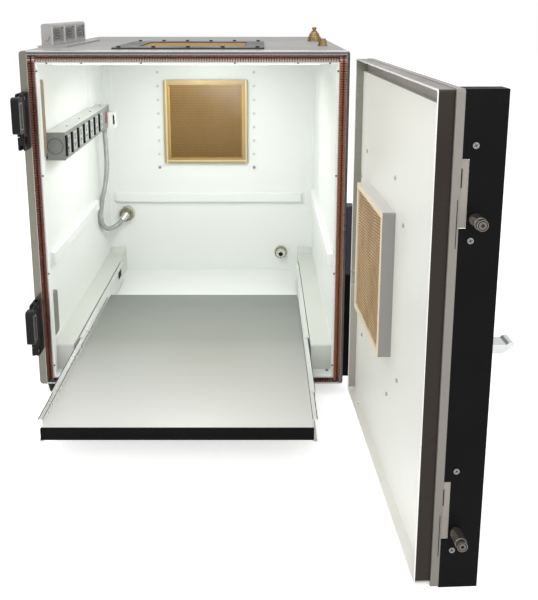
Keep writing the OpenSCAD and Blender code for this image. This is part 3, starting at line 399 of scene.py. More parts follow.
# %% Black and soft parts
black_coat = finish(
    "black_powder_coat", (0.0035, 0.0036, 0.0038), (0.0055, 0.0056, 0.006), gloss=0.42, dull=0.55,
    patch=12, grain=1100, relief=0.15, specular=0.06)
black_plastic = finish(
    "black_moulded_plastic", (0.006, 0.0063, 0.007), (0.009, 0.0093, 0.0105), gloss=0.30,
    dull=0.44, patch=20, grain=900, relief=0.1, specular=0.16)
clip_black = finish(
    "clip_black", (0.02, 0.02, 0.021), (0.03, 0.03, 0.031), gloss=0.35, dull=0.5, patch=30,
    grain=900, relief=0.05, specular=0.3)
slot_black = finish(
    "slot_black", (0.008, 0.008, 0.008), (0.012, 0.012, 0.012), gloss=0.5, dull=0.7, patch=40,
    grain=900, relief=0.1, specular=0.1)
foot_rubber = finish(
    "foot_rubber", (0.012, 0.012, 0.012), (0.02, 0.02, 0.02), gloss=0.6, dull=0.8, patch=30,
    grain=700, relief=0.3, specular=0.2)
pad_tan = finish(
    "backing_pad_rubber", (0.27, 0.20, 0.125), (0.22, 0.16, 0.10), gloss=0.55, dull=0.7, patch=30,
    grain=700, relief=0.2,
    zones=(((0.19, 0.20, 0.165), UP, 0.31, 0.29),))  # lower pad
print("black and soft finishes made")

# %% [markdown]
# ## Roof module, power strip and light
# Grey enamel and pale moulded plastic. The strip's top face is painted lighter than its body, as
# painted light from above, so it gets a zone of its own. The light's diffuser glows, as a lit one
# does.

# %% Roof module, power strip and light
io_grey = finish(
    "module_grey_enamel", (0.36, 0.35, 0.34), (0.31, 0.30, 0.29), gloss=0.32, dull=0.46, patch=18,
    grain=900, relief=0.14)
port_grey = finish(
    "port_face_grey", (0.16, 0.155, 0.15), (0.12, 0.116, 0.112), gloss=0.4, dull=0.55, patch=18,
    grain=900, relief=0.1)
io_edge = finish(
    "module_light_rib", (0.62, 0.61, 0.60), (0.55, 0.54, 0.53), gloss=0.3, dull=0.42, patch=18,
    grain=900, relief=0.1)
strip_grey = finish(
    "strip_grey_enamel", (0.22, 0.232, 0.22), (0.20, 0.21, 0.20), gloss=0.32, dull=0.45, patch=14,
    grain=700, relief=0.06, specular=0.35,
    zones=(((0.71, 0.725, 0.70), UP, 0.4798, 0.4806),))  # painted light on the top face
outlet_grey = finish(
    "outlet_light_plastic", (0.42, 0.44, 0.43), (0.38, 0.40, 0.39), gloss=0.3, dull=0.42, patch=30,
    grain=900, relief=0.06)
plug_white = finish(
    "plug_white_plastic", (0.80, 0.81, 0.79), (0.77, 0.78, 0.76), gloss=0.28, dull=0.4, patch=30,
    grain=900, relief=0.06)
rocker_red = finish(
    "rocker_red", (0.20, 0.03, 0.02), (0.14, 0.02, 0.015), gloss=0.3, dull=0.4, patch=60,
    grain=900, relief=0.05, glow=0.15)
conduit_grey = finish(
    "conduit_grey_braid", (0.40, 0.41, 0.385), (0.32, 0.33, 0.31), gloss=0.34, dull=0.48, patch=60,
    grain=900, relief=0.1, metallic=0.3)
diffuser = finish(
    "light_diffuser", (1.0, 1.0, 0.96), (0.97, 0.98, 0.94), gloss=0.3, dull=0.4, patch=20,
    grain=700, relief=0.05, glow=2.8)
print("module, strip and light finishes made")

# %% [markdown]
# ## Door
# The door is enamelled sheet over a bronze-toned knife rim. The rim and the vent box are made of
# several strips in different states: bare, blackened, painted. Among their zones are also a painted
# highlight on the rim's crest and painted shade on the box's end wall. As the door stands open at
# rest, the zones are measured in that pose, and they ride along when it swings.

# %% Finishes of the door
VENT_RIM = 0.023  # height of the vent box's rim, door shut
HINGE_OUT = 0.302 * 0.99881  # how far out the hinge lies, along DOOR_OUT
RIM_OUT = VENT_RIM - HINGE_OUT  # the vent box's rim, measured the same way
CELL = 4.6 * MM  # width of a honeycomb cell
ROW_SLANT = (0, 0.1, 0.995)  # the rows rise a little towards the free edge
door_grey = finish(
    "door_grey_enamel", (0.228, 0.213, 0.187), (0.213, 0.199, 0.174), gloss=0.32, dull=0.45,
    patch=6, grain=900, relief=0.06,
    zones=(((0.19, 0.178, 0.156), DOWN, -0.5, -0.1),))  # towards the floor
knife_bronze = finish(
    "knife_bronze", (0.40, 0.385, 0.35), (0.35, 0.335, 0.30), gloss=0.24, dull=0.38, patch=6,
    grain=700, relief=0.01, metallic=0.4, specular=0.25,
    zones=(
        ((0.26, 0.255, 0.215), UP, 0.12, 0.42),  # upper part, duller
        ((0.025, 0.019, 0.014), INWARD, -0.5585, -0.5595),  # blackened free side
        ((0.12, 0.105, 0.10), UP, 0.6168, 0.6174),  # top edge
        ((0.74, 0.73, 0.70), UP, 0.034, 0.030),  # pale foot
        ((0.86, 0.85, 0.82), DOOR_OUT, -0.2858, -0.2853),  # painted highlight on the crest of the rim
    ))
panel_white = finish(
    "door_panel_enamel", (0.82, 0.825, 0.765), (0.805, 0.81, 0.75), gloss=0.28, dull=0.4, patch=4,
    grain=800, relief=0.05)
box_grey = finish(
    "vent_box_enamel", (0.62, 0.605, 0.575), (0.58, 0.565, 0.54), gloss=0.3, dull=0.42, patch=10,
    grain=800, relief=0.03,
    zones=(
        ((0.27, 0.26, 0.25), INWARD, -0.3215, -0.3230),  # painted shade on the end wall
        ((0.80, 0.66, 0.46), DOOR_OUT, RIM_OUT - 0.0008, RIM_OUT - 0.0004),  # gilt rim
    ))
stud_pale = finish(
    "stud_pale_enamel", (0.60, 0.62, 0.59), (0.56, 0.58, 0.55), gloss=0.3, dull=0.42, patch=10,
    grain=800, relief=0.03,
    zones=(((0.24, 0.245, 0.235), UP, 0.325, 0.318),))  # lowest studs, darker
stud_steel = finish(
    "stud_bright_steel", (0.46, 0.465, 0.455), (0.38, 0.385, 0.375), gloss=0.28, dull=0.4,
    patch=40, grain=900, relief=0.03, metallic=0.6)
strike_grey = finish(
    "strike_grey", (0.285, 0.259, 0.219), (0.26, 0.236, 0.20), gloss=0.3, dull=0.45, patch=12,
    grain=800, relief=0.08)
# The dark rows on the door's honeycomb are painted shade.
door_brass = finish(
    "door_brass_foil", (0.80, 0.62, 0.36), (0.56, 0.38, 0.22), gloss=0.28, dull=0.42, patch=25,
    grain=900, relief=0.05, metallic=0.35,
    rows=(((0.40, 0.265, 0.145), ROW_SLANT, CELL),))
roller_steel = finish(
    "roller_dark_steel", (0.17, 0.155, 0.14), (0.10, 0.09, 0.085), gloss=0.2, dull=0.34, patch=50,
    grain=900, relief=0.08, metallic=0.8)
print("door finishes made")

# %% [markdown]
# ## Dressing the solids
# Each solid of the frame comes with one material slot. A table from finish to nodes dresses them
# all in one loop, and shows at once if a node was forgotten.

# %% Which node takes which finish
dressing = {
    shell_grey: ["outer_shell"],
    rim_steel: ["front_frame"],
    chamber_white: ["inner_liner", "rail_rear", "rail_left", "rail_right", "corner_angles",
                    "wire_duct"],
    pedestal_grey: ["pedestal_left", "pedestal_right"],
    gasket_copper: ["finger_gasket"],
    vent_gold: ["rear_vent_frame"],
    core_brass: ["rear_vent_core", "roof_vent_core"],
    door_brass: ["door_vent_core"],
    bright_steel: ["latch_pins", "hinge_pins", "door_handle"],
    screw_steel: ["door_screws"],
    stud_steel: ["door_studs"],
    stud_pale: ["rear_vent_studs"],
    clip_black: ["roof_vent_screws"],
    roller_steel: ["roller_upper", "roller_lower", "roller_posts"],
    slide_zinc: ["slide_outer_left", "slide_outer_right", "slide_mid_left", "slide_mid_right",
                 "slide_inners"],
    dark_zinc: ["liner_rivets"],
    roof_dark: ["roof_vent_frame"],
    tray_grey: ["tray_plate"],
    black_coat: ["tray_lip", "hinge_block_lower", "hinge_straps", "door_edge_bar"],
    black_plastic: ["latch_body_upper", "latch_body_lower", "latch_lever_upper",
                    "latch_lever_lower"],
    purple_coat: ["hinge_block_upper"],
    foot_rubber: ["feet"],
    io_grey: ["io_base", "io_housing"],
    terminal_brass: ["ground_terminal"],
    strip_grey: ["strip_housing"],
    outlet_grey: ["strip_outlets"],
    plug_white: ["strip_plug"],
    rocker_red: ["switch_rocker"],
    conduit_grey: ["conduit"],
    nickel: ["conduit_gland", "rear_connector"],
    pad_tan: ["latch_backings"],
    diffuser: ["light_bar"],
    door_grey: ["door_plate"],
    knife_bronze: ["door_knife"],
    panel_white: ["door_liner"],
    box_grey: ["door_vent_box"],
    strike_grey: ["strike_plates"],
}
for material, names in dressing.items():
    for name in names:
        for s in nodes[name].material_slots:
            s.material = material
undressed = sorted(set(nodes) - {n for names in dressing.values() for n in names})
print("nodes without a finish:", undressed)


# %% [markdown]
# ## Helpers for the fine pieces
# Every fine piece is mesh code: a list of corners and faces, a lathed profile or a swept section.
# Modifiers and primitives could make them too, but lists keep many small solids in one piece and
# every size in view. Door pieces are drawn with the door shut and then swung open about the
# hinge, as the CAD does.

# %% Mesh helpers
HINGE = Vector((0.302, 0.0, 0.0))
DOOR_OPEN = 92.8  # degrees, at rest
SWING = (Matrix.Translation(HINGE) @ Matrix.Rotation(math.radians(DOOR_OPEN), 4, "Z")
         @ Matrix.Translation(-HINGE))
SHARP_OVER = 38  # degrees between faces that stay a hard edge
collection = bpy.context.scene.collection


def piece(name, verts, faces, material, body, replaces=(), smooth=False, door=False, slot=None):
    """Makes one mesh object from corners and faces, and rides it on its body."""
    mesh = bpy.data.meshes.new(name)
    if door:
        verts = [SWING @ Vector(v) for v in verts]
    mesh.from_pydata([tuple(v) for v in verts], [], faces)
    work = bmesh.new()
    work.from_mesh(mesh)
    bmesh.ops.remove_doubles(work, verts=work.verts, dist=1e-6)
    bmesh.ops.recalc_face_normals(work, faces=work.faces)
    work.to_mesh(mesh)
    work.free()
    mesh.materials.append(material)
    if smooth:
        for p in mesh.polygons:
            p.use_smooth = True
        mesh.set_sharp_from_angle(angle=math.radians(SHARP_OVER))
    ob = bpy.data.objects.new(name, mesh)
    collection.objects.link(ob)
    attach(ob, body)
    if replaces:
        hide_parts(*replaces)
    return ob


def faces_of(ob):
    return len(ob.data.polygons)


class Shape:
    """Collects corners and faces of many small solids into one piece."""

    def __init__(self):
        self.verts, self.faces = [], []

    def add(self, verts, faces, place=None):
        at = len(self.verts)
        self.verts += [place @ Vector(v) for v in verts] if place else [Vector(v) for v in verts]
        self.faces += [[at + i for i in f] for f in faces]

    def box(self, low, high, place=None):
        (a, b, c), (d, e, f) = low, high
        v = [(a, b, c), (d, b, c), (d, e, c), (a, e, c), (a, b, f), (d, b, f), (d, e, f), (a, e, f)]
        self.add(v, [(0, 3, 2, 1), (4, 5, 6, 7), (0, 1, 5, 4), (1, 2, 6, 5), (2, 3, 7, 6),
                     (3, 0, 4, 7)], place)

    def lathe(self, profile, place=None, steps=20, ring=False):
        """Turns a list of (radius, height) round Z: a solid with closed ends, or a ring."""
        v, f = [], []
        for r, h in profile:
            for k in range(steps):
                a = 2 * math.pi * k / steps
                v.append((r * math.cos(a), r * math.sin(a), h))
        for i in range(len(profile) - (0 if ring else 1)):
            for k in range(steps):
                a, b, c = k, (k + 1) % steps, (i + 1) % len(profile) * steps
                f.append((i * steps + a, i * steps + b, c + b, c + a))
        if not ring:
            last = (len(profile) - 1) * steps
            f += [tuple(range(steps - 1, -1, -1)), tuple(range(last, last + steps))]
        self.add(v, f, place)

    def prism(self, outline, h0, h1, place=None):
        """An (x, y) outline raised between two heights."""
        n = len(outline)
        v = [(x, y, h0) for x, y in outline] + [(x, y, h1) for x, y in outline]
        f = [tuple(range(n - 1, -1, -1)), tuple(range(n, 2 * n))]
        f += [(i, (i + 1) % n, n + (i + 1) % n, n + i) for i in range(n)]
        self.add(v, f, place)

    def become(self, name, material, body, **how):
        """The collected solids as one finished piece."""
        return piece(name, self.verts, self.faces, material, body, **how)


def facing(direction, at):
    """A placement whose Z axis looks along the given direction."""
    turn = Vector(direction).to_track_quat("Z", "Y").to_matrix().to_4x4()
    return Matrix.Translation(Vector(at)) @ turn


def rounded(x0, y0, x1, y1, r, n=4):
    """The outline of a rectangle with round corners."""
    pts = []
    for cx, cy, a0 in ((x1 - r, y0 + r, -90), (x1 - r, y1 - r, 0), (x0 + r, y1 - r, 90),
                       (x0 + r, y0 + r, 180)):
        pts += [(cx + r * math.cos(math.radians(a0 + 90 * i / n)),
                 cy + r * math.sin(math.radians(a0 + 90 * i / n))) for i in range(n + 1)]
    return pts


print("helpers ready")


# %% [markdown]
# ## Honeycomb vents
# A shielded vent is a plate of deep thin-walled cells: air passes, radio waves do not. The real
# cells are only a few millimetres across, finer than the solids carry. A texture of hexagons
# would look flat from the side, so each cell is drawn as a ring of front edges, six walls and a
# ring of back edges, and light can fall into it.

# %% Honeycomb cores
WALL = 0.55 * MM
SIDES = 6
EDGE_SINK = 0.6 * MM  # how far the border strips lie below the cells


def honeycomb(width, height, depth, pitch, wall):
    """Corners and faces of a cell plate centred on the origin, its front at z = depth."""
    shape = Shape()
    r_out = pitch / math.sqrt(3)
    r_in = r_out - wall / math.sqrt(3)
    row = pitch * math.sqrt(3) / 2
    ny = int((height - 2 * r_out) / row) + 1
    nx = int(width / pitch)
    corner = [(math.cos(math.radians(90 + 60 * k)), math.sin(math.radians(90 + 60 * k)))
              for k in range(SIDES)]
    ring = [(k, (k + 1) % SIDES) for k in range(SIDES)]
    for j in range(ny):
        odd = j % 2
        for i in range(nx - odd):
            cx = (i - (nx - 1 - odd) / 2) * pitch
            cy = (j - (ny - 1) / 2) * row
            v = []
            for radius, z in ((r_out, depth), (r_in, depth), (r_in, 0), (r_out, 0)):
                v += [(cx + radius * x, cy + radius * y, z) for x, y in corner]
            f = [(SIDES * s + a, SIDES * s + b, SIDES * (s + 1) + b, SIDES * (s + 1) + a)
                 for s in range(3) for a, b in ring]
            shape.add(v, f)
    x, y = width / 2, height / 2
    gx = (width - nx * pitch) / 2 + pitch * 0.6
    gy = (height - (2 * r_out + (ny - 1) * row)) / 2 + r_out * 0.5
    for low, high in (((-x, -y), (-x + gx, y)), ((x - gx, -y), (x, y)),
                      ((-x, -y), (x, -y + gy)), ((-x, y - gy), (x, y))):
        shape.box((*low, 0), (*high, depth - EDGE_SINK))
    return shape


def place_core(name, node, body, material, width, at, toward, depth, door=False):
    """A square core in the place of its CAD node, which it replaces."""
    core = honeycomb(width, width, depth, CELL, WALL)
    place = facing(toward, at)
    made = piece(name, [place @ v for v in core.verts], core.faces, material, body,
                 replaces=(node,), door=door, slot=node)
    print(name, "cells:", faces_of(made) // 18)
    return made


place_core("rear_honeycomb", "rear_vent_core", "cabinet", core_brass, 0.188,
           (-0.0095, 0.698, 0.3985 + FEET), (0, -1, 0), 0.031)
place_core("roof_honeycomb", "roof_vent_core", "cabinet", core_brass, 0.194,
           (0.004, 0.2, 0.590 + FEET), (0, 0, 1), 0.0185)
place_core("door_honeycomb", "door_vent_core", "door", door_brass, 0.194,
           (0.0835, 0.004, 0.299 + FEET), (0, 1, 0), 0.017, door=True)

# %% [markdown]
# ## Copper finger stock
# The gasket is a strip of beryllium copper cut into narrow sprung fingers. Two rows face each
# other in the channel and the door's knife pushes in between them. An array modifier along four
# sides would need four objects and care at the corners, so a loop lays the fingers instead: each
# is a bowed ribbon a few millimetres wide. A dark strip behind them closes the channel.

# %% Finger stock
CHANNEL = (-0.2665, 0.003, 0.275, 0.600)  # outer edges: left, bottom, right, top
INNER = (-0.2545, 0.012, 0.263, 0.589)  # inner edges
KNIFE = (-0.264, 0.0046, 0.2715, 0.596)  # where the knife passes, on its outer side
KNIFE_THICK = 0.002
BOW = [(0, 2), (0.45, 5), (0.85, 8), (1.0, 10), (0.85, 12), (0.4, 15), (0, 18)]  # (share, depth mm)
FINGER_PITCH = 4.4 * MM
FINGER_GAP = 1.5 * MM
FINGER_THICK = 0.4 * MM
TOUCH = 0.92  # share of the way to the knife that a finger bows
X, Z = Vector((1, 0, 0)), Vector((0, 0, 1))
lift = Vector((0, 0, FEET))


def finger_row(shape, start, along, across, length, reach):
    """Fingers from start along one side, bowing by reach across the channel."""
    n = int(length / FINGER_PITCH)
    side = 1 if reach > 0 else -1
    for i in range(n):
        first = (length - n * FINGER_PITCH) / 2 + FINGER_GAP / 2
        a = start + along * (first + i * FINGER_PITCH)
        b = a + along * (FINGER_PITCH - FINGER_GAP)
        v = []
        for share, depth in BOW:
            for off in (0, FINGER_THICK * side):
                for end in (a, b):
                    v.append(end + across * (reach * share + off) + Vector((0, depth * MM, 0)))
        f = []
        for s in range(len(BOW) - 1):
            k, m = 4 * s, 4 * s + 4
            f += [(k, k + 1, m + 1, m), (k + 2, m + 2, m + 3, k + 3),
                  (k, m, m + 2, k + 2), (k + 1, k + 3, m + 3, m + 1)]
        shape.add(v, f)


stock = Shape()
tall = CHANNEL[3] - CHANNEL[1]
wide = INNER[2] - INNER[0]
for wall_at, knife_at in ((CHANNEL[0], KNIFE[0]), (INNER[0], KNIFE[0] + KNIFE_THICK),
                          (INNER[2], KNIFE[2] - KNIFE_THICK), (CHANNEL[2], KNIFE[2])):
    finger_row(stock, Vector((wall_at, 0, CHANNEL[1])) + lift, Z, X, tall,
               (knife_at - wall_at) * TOUCH)
for wall_at, knife_at in ((CHANNEL[3], KNIFE[3]), (INNER[3], KNIFE[3] - KNIFE_THICK),
                          (INNER[1], KNIFE[1] + KNIFE_THICK), (CHANNEL[1], KNIFE[1])):
    finger_row(stock, Vector((INNER[0], 0, wall_at)) + lift, X, Z, wide,
               (knife_at - wall_at) * TOUCH)

# %% Backing strip, and both as pieces
BACK_FROM, BACK_TO = 0.0185, 0.0195  # depth of the strip in the channel
backing = Shape()
for x0, z0, x1, z1 in ((CHANNEL[0], CHANNEL[1], INNER[0], CHANNEL[3]),
                       (INNER[2], CHANNEL[1], CHANNEL[2], CHANNEL[3]),
                       (INNER[0], INNER[3], INNER[2], CHANNEL[3]),
                       (INNER[0], CHANNEL[1], INNER[2], INNER[1])):
    backing.box((x0, BACK_FROM, z0), (x1, BACK_TO, z1), Matrix.Translation(lift))
backing.become("gasket_backing_strip", gasket_back, "cabinet", slot="finger_gasket")
gasket = stock.become("finger_stock", gasket_copper, "cabinet", replaces=("finger_gasket",),
                      slot="finger_gasket")
print("finger faces:", faces_of(gasket))

# %% [markdown]
# ## Flexible conduit
# The lead to the power strip runs inside a ribbed metal sleeve, fixed at both ends. A curve with
# a bevel would give a smooth tube, and the ribs would then have to come from a bump. Here the
# rib is a small ripple of the radius along the same route as the solid, so the sleeve catches a
# row of highlights and keeps its ribs in the exported mesh.

# %% Ribbed conduit
ROUTE_MM = [
    (-236, 511, 407), (-236.5, 513, 390), (-237, 522, 355), (-240, 538, 305), (-248, 546, 258),
    (-254, 540, 230), (-255, 524, 208), (-255, 516, 188), (-254, 532, 165), (-250, 570, 147),
    (-243, 606, 140), (-233, 630, 143), (-226, 641, 150),
]
SLEEVE_R = 6.0 * MM
RIB = 1.0 * MM
RIB_PITCH = 3.4 * MM
PER_RIB = 4  # rings of corners in each rib


def smooth_route(points, steps):
    """Points along a Catmull-Rom curve through the route."""
    pts = [Vector(p) * MM + lift for p in points]
    out = []
    for i in range(len(pts) - 1):
        a, b, c, d = pts[max(i - 1, 0)], pts[i], pts[i + 1], pts[min(i + 2, len(pts) - 1)]
        for k in range(steps):
            t = k / steps
            out.append(0.5 * (2 * b + (c - a) * t + (2 * a - 5 * b + 4 * c - d) * t * t
                              + (3 * b - a - 3 * c + d) * t ** 3))
    return out + [pts[-1]]


def ribbed_tube(points, radius, rib, pitch, sides=14):
    """A tube whose radius ripples along its length."""
    length, marks = 0.0, [0.0]
    for a, b in zip(points, points[1:]):
        length += (b - a).length
        marks.append(length)
    count = int(length / pitch) * PER_RIB
    verts, faces, k = [], [], 0
    for i in range(count + 1):
        s = length * i / count
        while k < len(marks) - 2 and marks[k + 1] < s:
            k += 1
        t = (s - marks[k]) / (marks[k + 1] - marks[k])
        at = points[k].lerp(points[k + 1], t)
        ahead = (points[min(k + 2, len(points) - 1)] - points[max(k - 1, 0)]).normalized()
        u = Vector((1, 0, 0)).cross(ahead).normalized()
        w = ahead.cross(u)
        r = radius - rib * (0.5 - 0.5 * math.cos(2 * math.pi * (i % PER_RIB) / PER_RIB))
        for j in range(sides):
            angle = 2 * math.pi * j / sides
            verts.append(at + r * (math.cos(angle) * u + math.sin(angle) * w))
        if i:
            b = (i - 1) * sides
            faces += [(b + j, b + (j + 1) % sides, b + sides + (j + 1) % sides, b + sides + j)
                      for j in range(sides)]
    faces += [tuple(range(sides)), tuple(range(count * sides, count * sides + sides))]
    print("tube length %.0f mm" % (length * 1000))
    return verts, faces


tube = ribbed_tube(smooth_route(ROUTE_MM, 6), SLEEVE_R, RIB, RIB_PITCH)
conduit = piece("ribbed_conduit", *tube, conduit_grey, "cabinet", replaces=("conduit",),
                smooth=True, slot="conduit")
print("conduit faces:", faces_of(conduit))

# %% [markdown]
# ## Power strip details
# Each outlet is a pale face with two sets of slots, and a thick black bar closes the gap between
# one face and the next. The end of the box has a pressed ring where a lead can be knocked through,
# and a row of short dark teeth where the cover hooks on. Holes cut into the solid would cost many
# faces for marks a millimetre wide, so thin dark blocks stand just proud of it. The black of the
# slots and of the pressed ring is painted shade in the openings and the groove.

# %% Bars, slots and ring of the strip
STRIP_X = -0.226  # the face with the outlets
STRIP_Z = 0.433 + FEET  # its middle
STRIP_END = 0.0702  # the end that faces the door
OUTLET_PITCH = 0.054
OUTLET_Y = [0.096 + OUTLET_PITCH * i for i in range(7)]
BAR_Y = [0.0765] + [y - OUTLET_PITCH / 2 for y in OUTLET_Y[1:]]
BAR_HALF = (0.0044, 0.019)  # half width and half height
SLOT_FACE = (STRIP_X + 0.0008, STRIP_X + 0.00125)
PLUG_MARK = ((-0.2125, 0.4967, 0.438), (-0.2095, 0.4973, 0.458))

bars = Shape()
for y in BAR_Y:
    bars.box((STRIP_X - 0.0005, y - BAR_HALF[0], STRIP_Z - BAR_HALF[1]),
             (STRIP_X + 0.0030, y + BAR_HALF[0], STRIP_Z + BAR_HALF[1]))
for y in OUTLET_Y:
    for z in (STRIP_Z + 0.0085, STRIP_Z - 0.0085):
        for side in (-1, 1):
            bars.box((SLOT_FACE[0], y + side * 0.0052 - 0.0011, z - 0.0012),
                     (SLOT_FACE[1], y + side * 0.0052 + 0.0011, z + 0.0048))
        bars.box((SLOT_FACE[0], y - 0.0019, z - 0.0062), (SLOT_FACE[1], y + 0.0019, z - 0.0026))
for k in range(9):
    z = STRIP_Z - 0.022 + k * 0.0055
    bars.box((STRIP_X - 0.0358, STRIP_END - 0.001, z), (STRIP_X - 0.0328, STRIP_END, z + 0.003))
bars.box(*PLUG_MARK)
KNOCK_OUT = [(0.0139, 0.0), (0.0139, 0.0004), (0.0146, 0.0004), (0.0146, 0.0)]
bars.lathe(KNOCK_OUT, facing((0, -1, 0), (STRIP_X - 0.018, STRIP_END - 0.0001, STRIP_Z)),
           steps=32, ring=True)
strip_bars = bars.become("strip_bars", slot_black, "cabinet", slot="strip_outlets")
print("strip bars:", faces_of(strip_bars))

# %% Dark socket of the rear connector
SOCKET = [(0.0, 0.0), (0.0056, 0.0), (0.0056, 0.001), (0.0, 0.001)]
socket = Shape()
socket.lathe(SOCKET, facing((0, -1, 0), (0.180, 0.655, 0.056 + FEET)))
rear_socket = socket.become("rear_socket", slot_black, "cabinet", slot="rear_connector")
print("rear socket:", faces_of(rear_socket))

# %% Screws along the strip's top edge
SCREW = [(0.0, 0.0), (0.0022, 0.0), (0.0022, 0.0006), (0.0014, 0.0012), (0.0, 0.0012)]
heads = Shape()
for y in (0.150, 0.262, 0.374, 0.486):
    heads.lathe(SCREW, facing((0, 0, 1), (STRIP_X - 0.014, y, 0.459 + FEET)), steps=12)
strip_screws = heads.become("strip_screws", screw_steel, "cabinet", slot="strip_housing")
print("strip screws:", faces_of(strip_screws))

# %% [markdown]
# ## Ports of the filter box
# The filter box on the roof passes the data leads. Its side has three port bays with dark filter
# faces, parted by pale upright ribs. They are too thin to be worth a node of the solid, and a
# mask would not catch the light, so thin blocks on the solid's face give the bays their edges.

# %% Ribs and faces of the filter box
IO_SIDE = -0.254
IO_BASE = 0.610 + FEET
BAY = 0.298 / 3  # width of one bay
RIB_Y = [0.130 + i * BAY for i in range(3)]  # where the bays start
LAST_RIB_Y = 0.420

faces_dark, ribs = Shape(), Shape()
for y in RIB_Y:
    for k in range(5):
        z = IO_BASE + 0.0075 + k * 0.0048
        faces_dark.box((IO_SIDE - 0.0022, y + 0.0135, z),
                       (IO_SIDE - 0.0012, y + 0.0905, z + 0.003))
for y in RIB_Y + [LAST_RIB_Y]:
    ribs.box((IO_SIDE - 0.0005, y + 0.0005, IO_BASE + 0.001),
             (IO_SIDE + 0.0010, y + 0.0075, IO_BASE + 0.0335))
port_faces = faces_dark.become("port_faces", port_grey, "cabinet", slot="io_housing")
port_ribs = ribs.become("port_ribs", io_edge, "cabinet", slot="io_housing")
print("port faces and ribs:", faces_of(port_faces), faces_of(port_ribs))

# %% [markdown]
# ## Latch levers
# Each lever is a moulded handle with a shallow loop pressed into its inner side. The loop's edge
# and the handle's front edge catch a satin highlight, and that highlight is painted: a thin pale
# ring along the loop and a pale line down the front edge are pieces of their own. A pointiness mask
# could find the edges too, but that reads the mesh and is lost in the export. They ride on the
# lever and swing with it.

# %% Painted highlights on the levers
LOOP_X = (-0.2676, -0.2672)  # the ring's two faces
LOOP_Y = (-0.0570, -0.0425)
FRONT_HIGHLIGHT_Y = (-0.0612, -0.0602)  # the painted highlight line on the front edge
FRONT_HIGHLIGHT_X = -0.2678
LEVER_BASE = {"upper": 0.442, "lower": 0.070}
GRIP_FROM, GRIP_TALL = 0.031, 0.061  # the handle above the latch's base
STROKE = 0.0011  # width of the ring


def loop_band(shape, outline, inner, x0, x1):
    """A flat band between two (y, z) outlines of the same count, from x0 to x1."""
    n = len(outline)
    v = [(x, y, z) for x in (x0, x1) for ring in (outline, inner) for y, z in ring]
    f = []
    for i in range(n):
        j = (i + 1) % n
        f += [(i, j, n + j, n + i), (2 * n + i, 3 * n + i, 3 * n + j, 2 * n + j),
              (i, 2 * n + i, 2 * n + j, j), (n + i, n + j, 3 * n + j, 3 * n + i)]
    shape.add(v, f)


for name, base in LEVER_BASE.items():
    low = base + GRIP_FROM + FEET
    high = low + GRIP_TALL
    edge = Shape()
    outer = rounded(LOOP_Y[0], low + 0.007, LOOP_Y[1], high - 0.009, 0.005)
    inner = rounded(LOOP_Y[0] + STROKE, low + 0.0082, LOOP_Y[1] - STROKE, high - 0.0102, 0.0039)
    loop_band(edge, outer, inner, *LOOP_X)
    front = rounded(FRONT_HIGHLIGHT_Y[0], low + 0.004, FRONT_HIGHLIGHT_Y[1], high - 0.006, 0.0004, 2)
    across = Matrix(((0, 0, 1, FRONT_HIGHLIGHT_X), (1, 0, 0, 0), (0, 1, 0, 0), (0, 0, 0, 1)))
    edge.prism(front, 0, 0.0004, across)
    made = edge.become("lever_highlight_" + name, lever_highlight_paint, "latch_lever_" + name,
                       slot="latch_lever_" + name)
    print(made.name, faces_of(made))

# %% [markdown]
# ## Recesses and seams on the door's free edge
# The screws of the black bar have a cross recess, drawn dark as painted shade in the hollow. A dark
# ring, painted shade in a groove, parts each roller's cap from its post, and a thin dark seam runs
# beside each strike plate where the folded sheets meet. All are shallow dark blocks and rings,
# drawn with the door shut and swung open as one piece.

# %% Cross recesses, rings and seams
FREE_X = -0.2675  # the bar's face on the free edge
SCREW_Z = (0.0553, 0.1586, 0.4341, 0.5377)
ROLLER_Z = (0.4585, 0.080)
CROSS_TURN = (25, 115)  # degrees
CAP_GROOVE = [(0.0043, -0.0002), (0.0043, 0.00015), (0.0051, 0.00015), (0.0051, -0.0002)]
SEAM_Y = -0.0115

dark = Shape()
for z in SCREW_Z:
    for turn in CROSS_TURN:
        place = facing((-1, 0, 0), (FREE_X - 0.0020, -0.025, z + FEET))
        dark.box((-0.0024, -0.0004, -0.0003), (0.0024, 0.0004, 0.00012),
                 place @ Matrix.Rotation(math.radians(turn), 4, "Z"))
for z in ROLLER_Z:
    place = facing((-1, 0, 0), (FREE_X - 0.031, -0.028, z + FEET))
    dark.lathe(CAP_GROOVE, place, steps=28, ring=True)
for z in ROLLER_Z:
    z0 = z + FEET - 0.0105
    dark.box((FREE_X - 0.0002, SEAM_Y - 0.0010, z0 + 0.044),
             (FREE_X + 0.0010, SEAM_Y + 0.0002, z0 + 0.065))
    dark.box((FREE_X - 0.0002, SEAM_Y + 0.0020, z0 - 0.023),
             (FREE_X + 0.0004, SEAM_Y + 0.0028, z0 + 0.031))
door_seams_and_hollow_shade = dark.become("door_seams_and_hollow_shade", slot_black, "door", door=True, slot="door_screws")
print("door seams:", faces_of(door_seams_and_hollow_shade))

# %% [markdown]
# ## Ball cages and painted gap shade of the slides
# Between the members of a slide runs a thin dark cage that holds the balls. The dark strips here
# are partly these cages and partly painted shade in the gaps between members: fine dark lines along
# the white metal, with a short black block at one end. Single balls would be too small to see. Each
# strip rides on the member it is drawn on and lies in a gap between members, so nothing is cut
# through when the tray runs in.

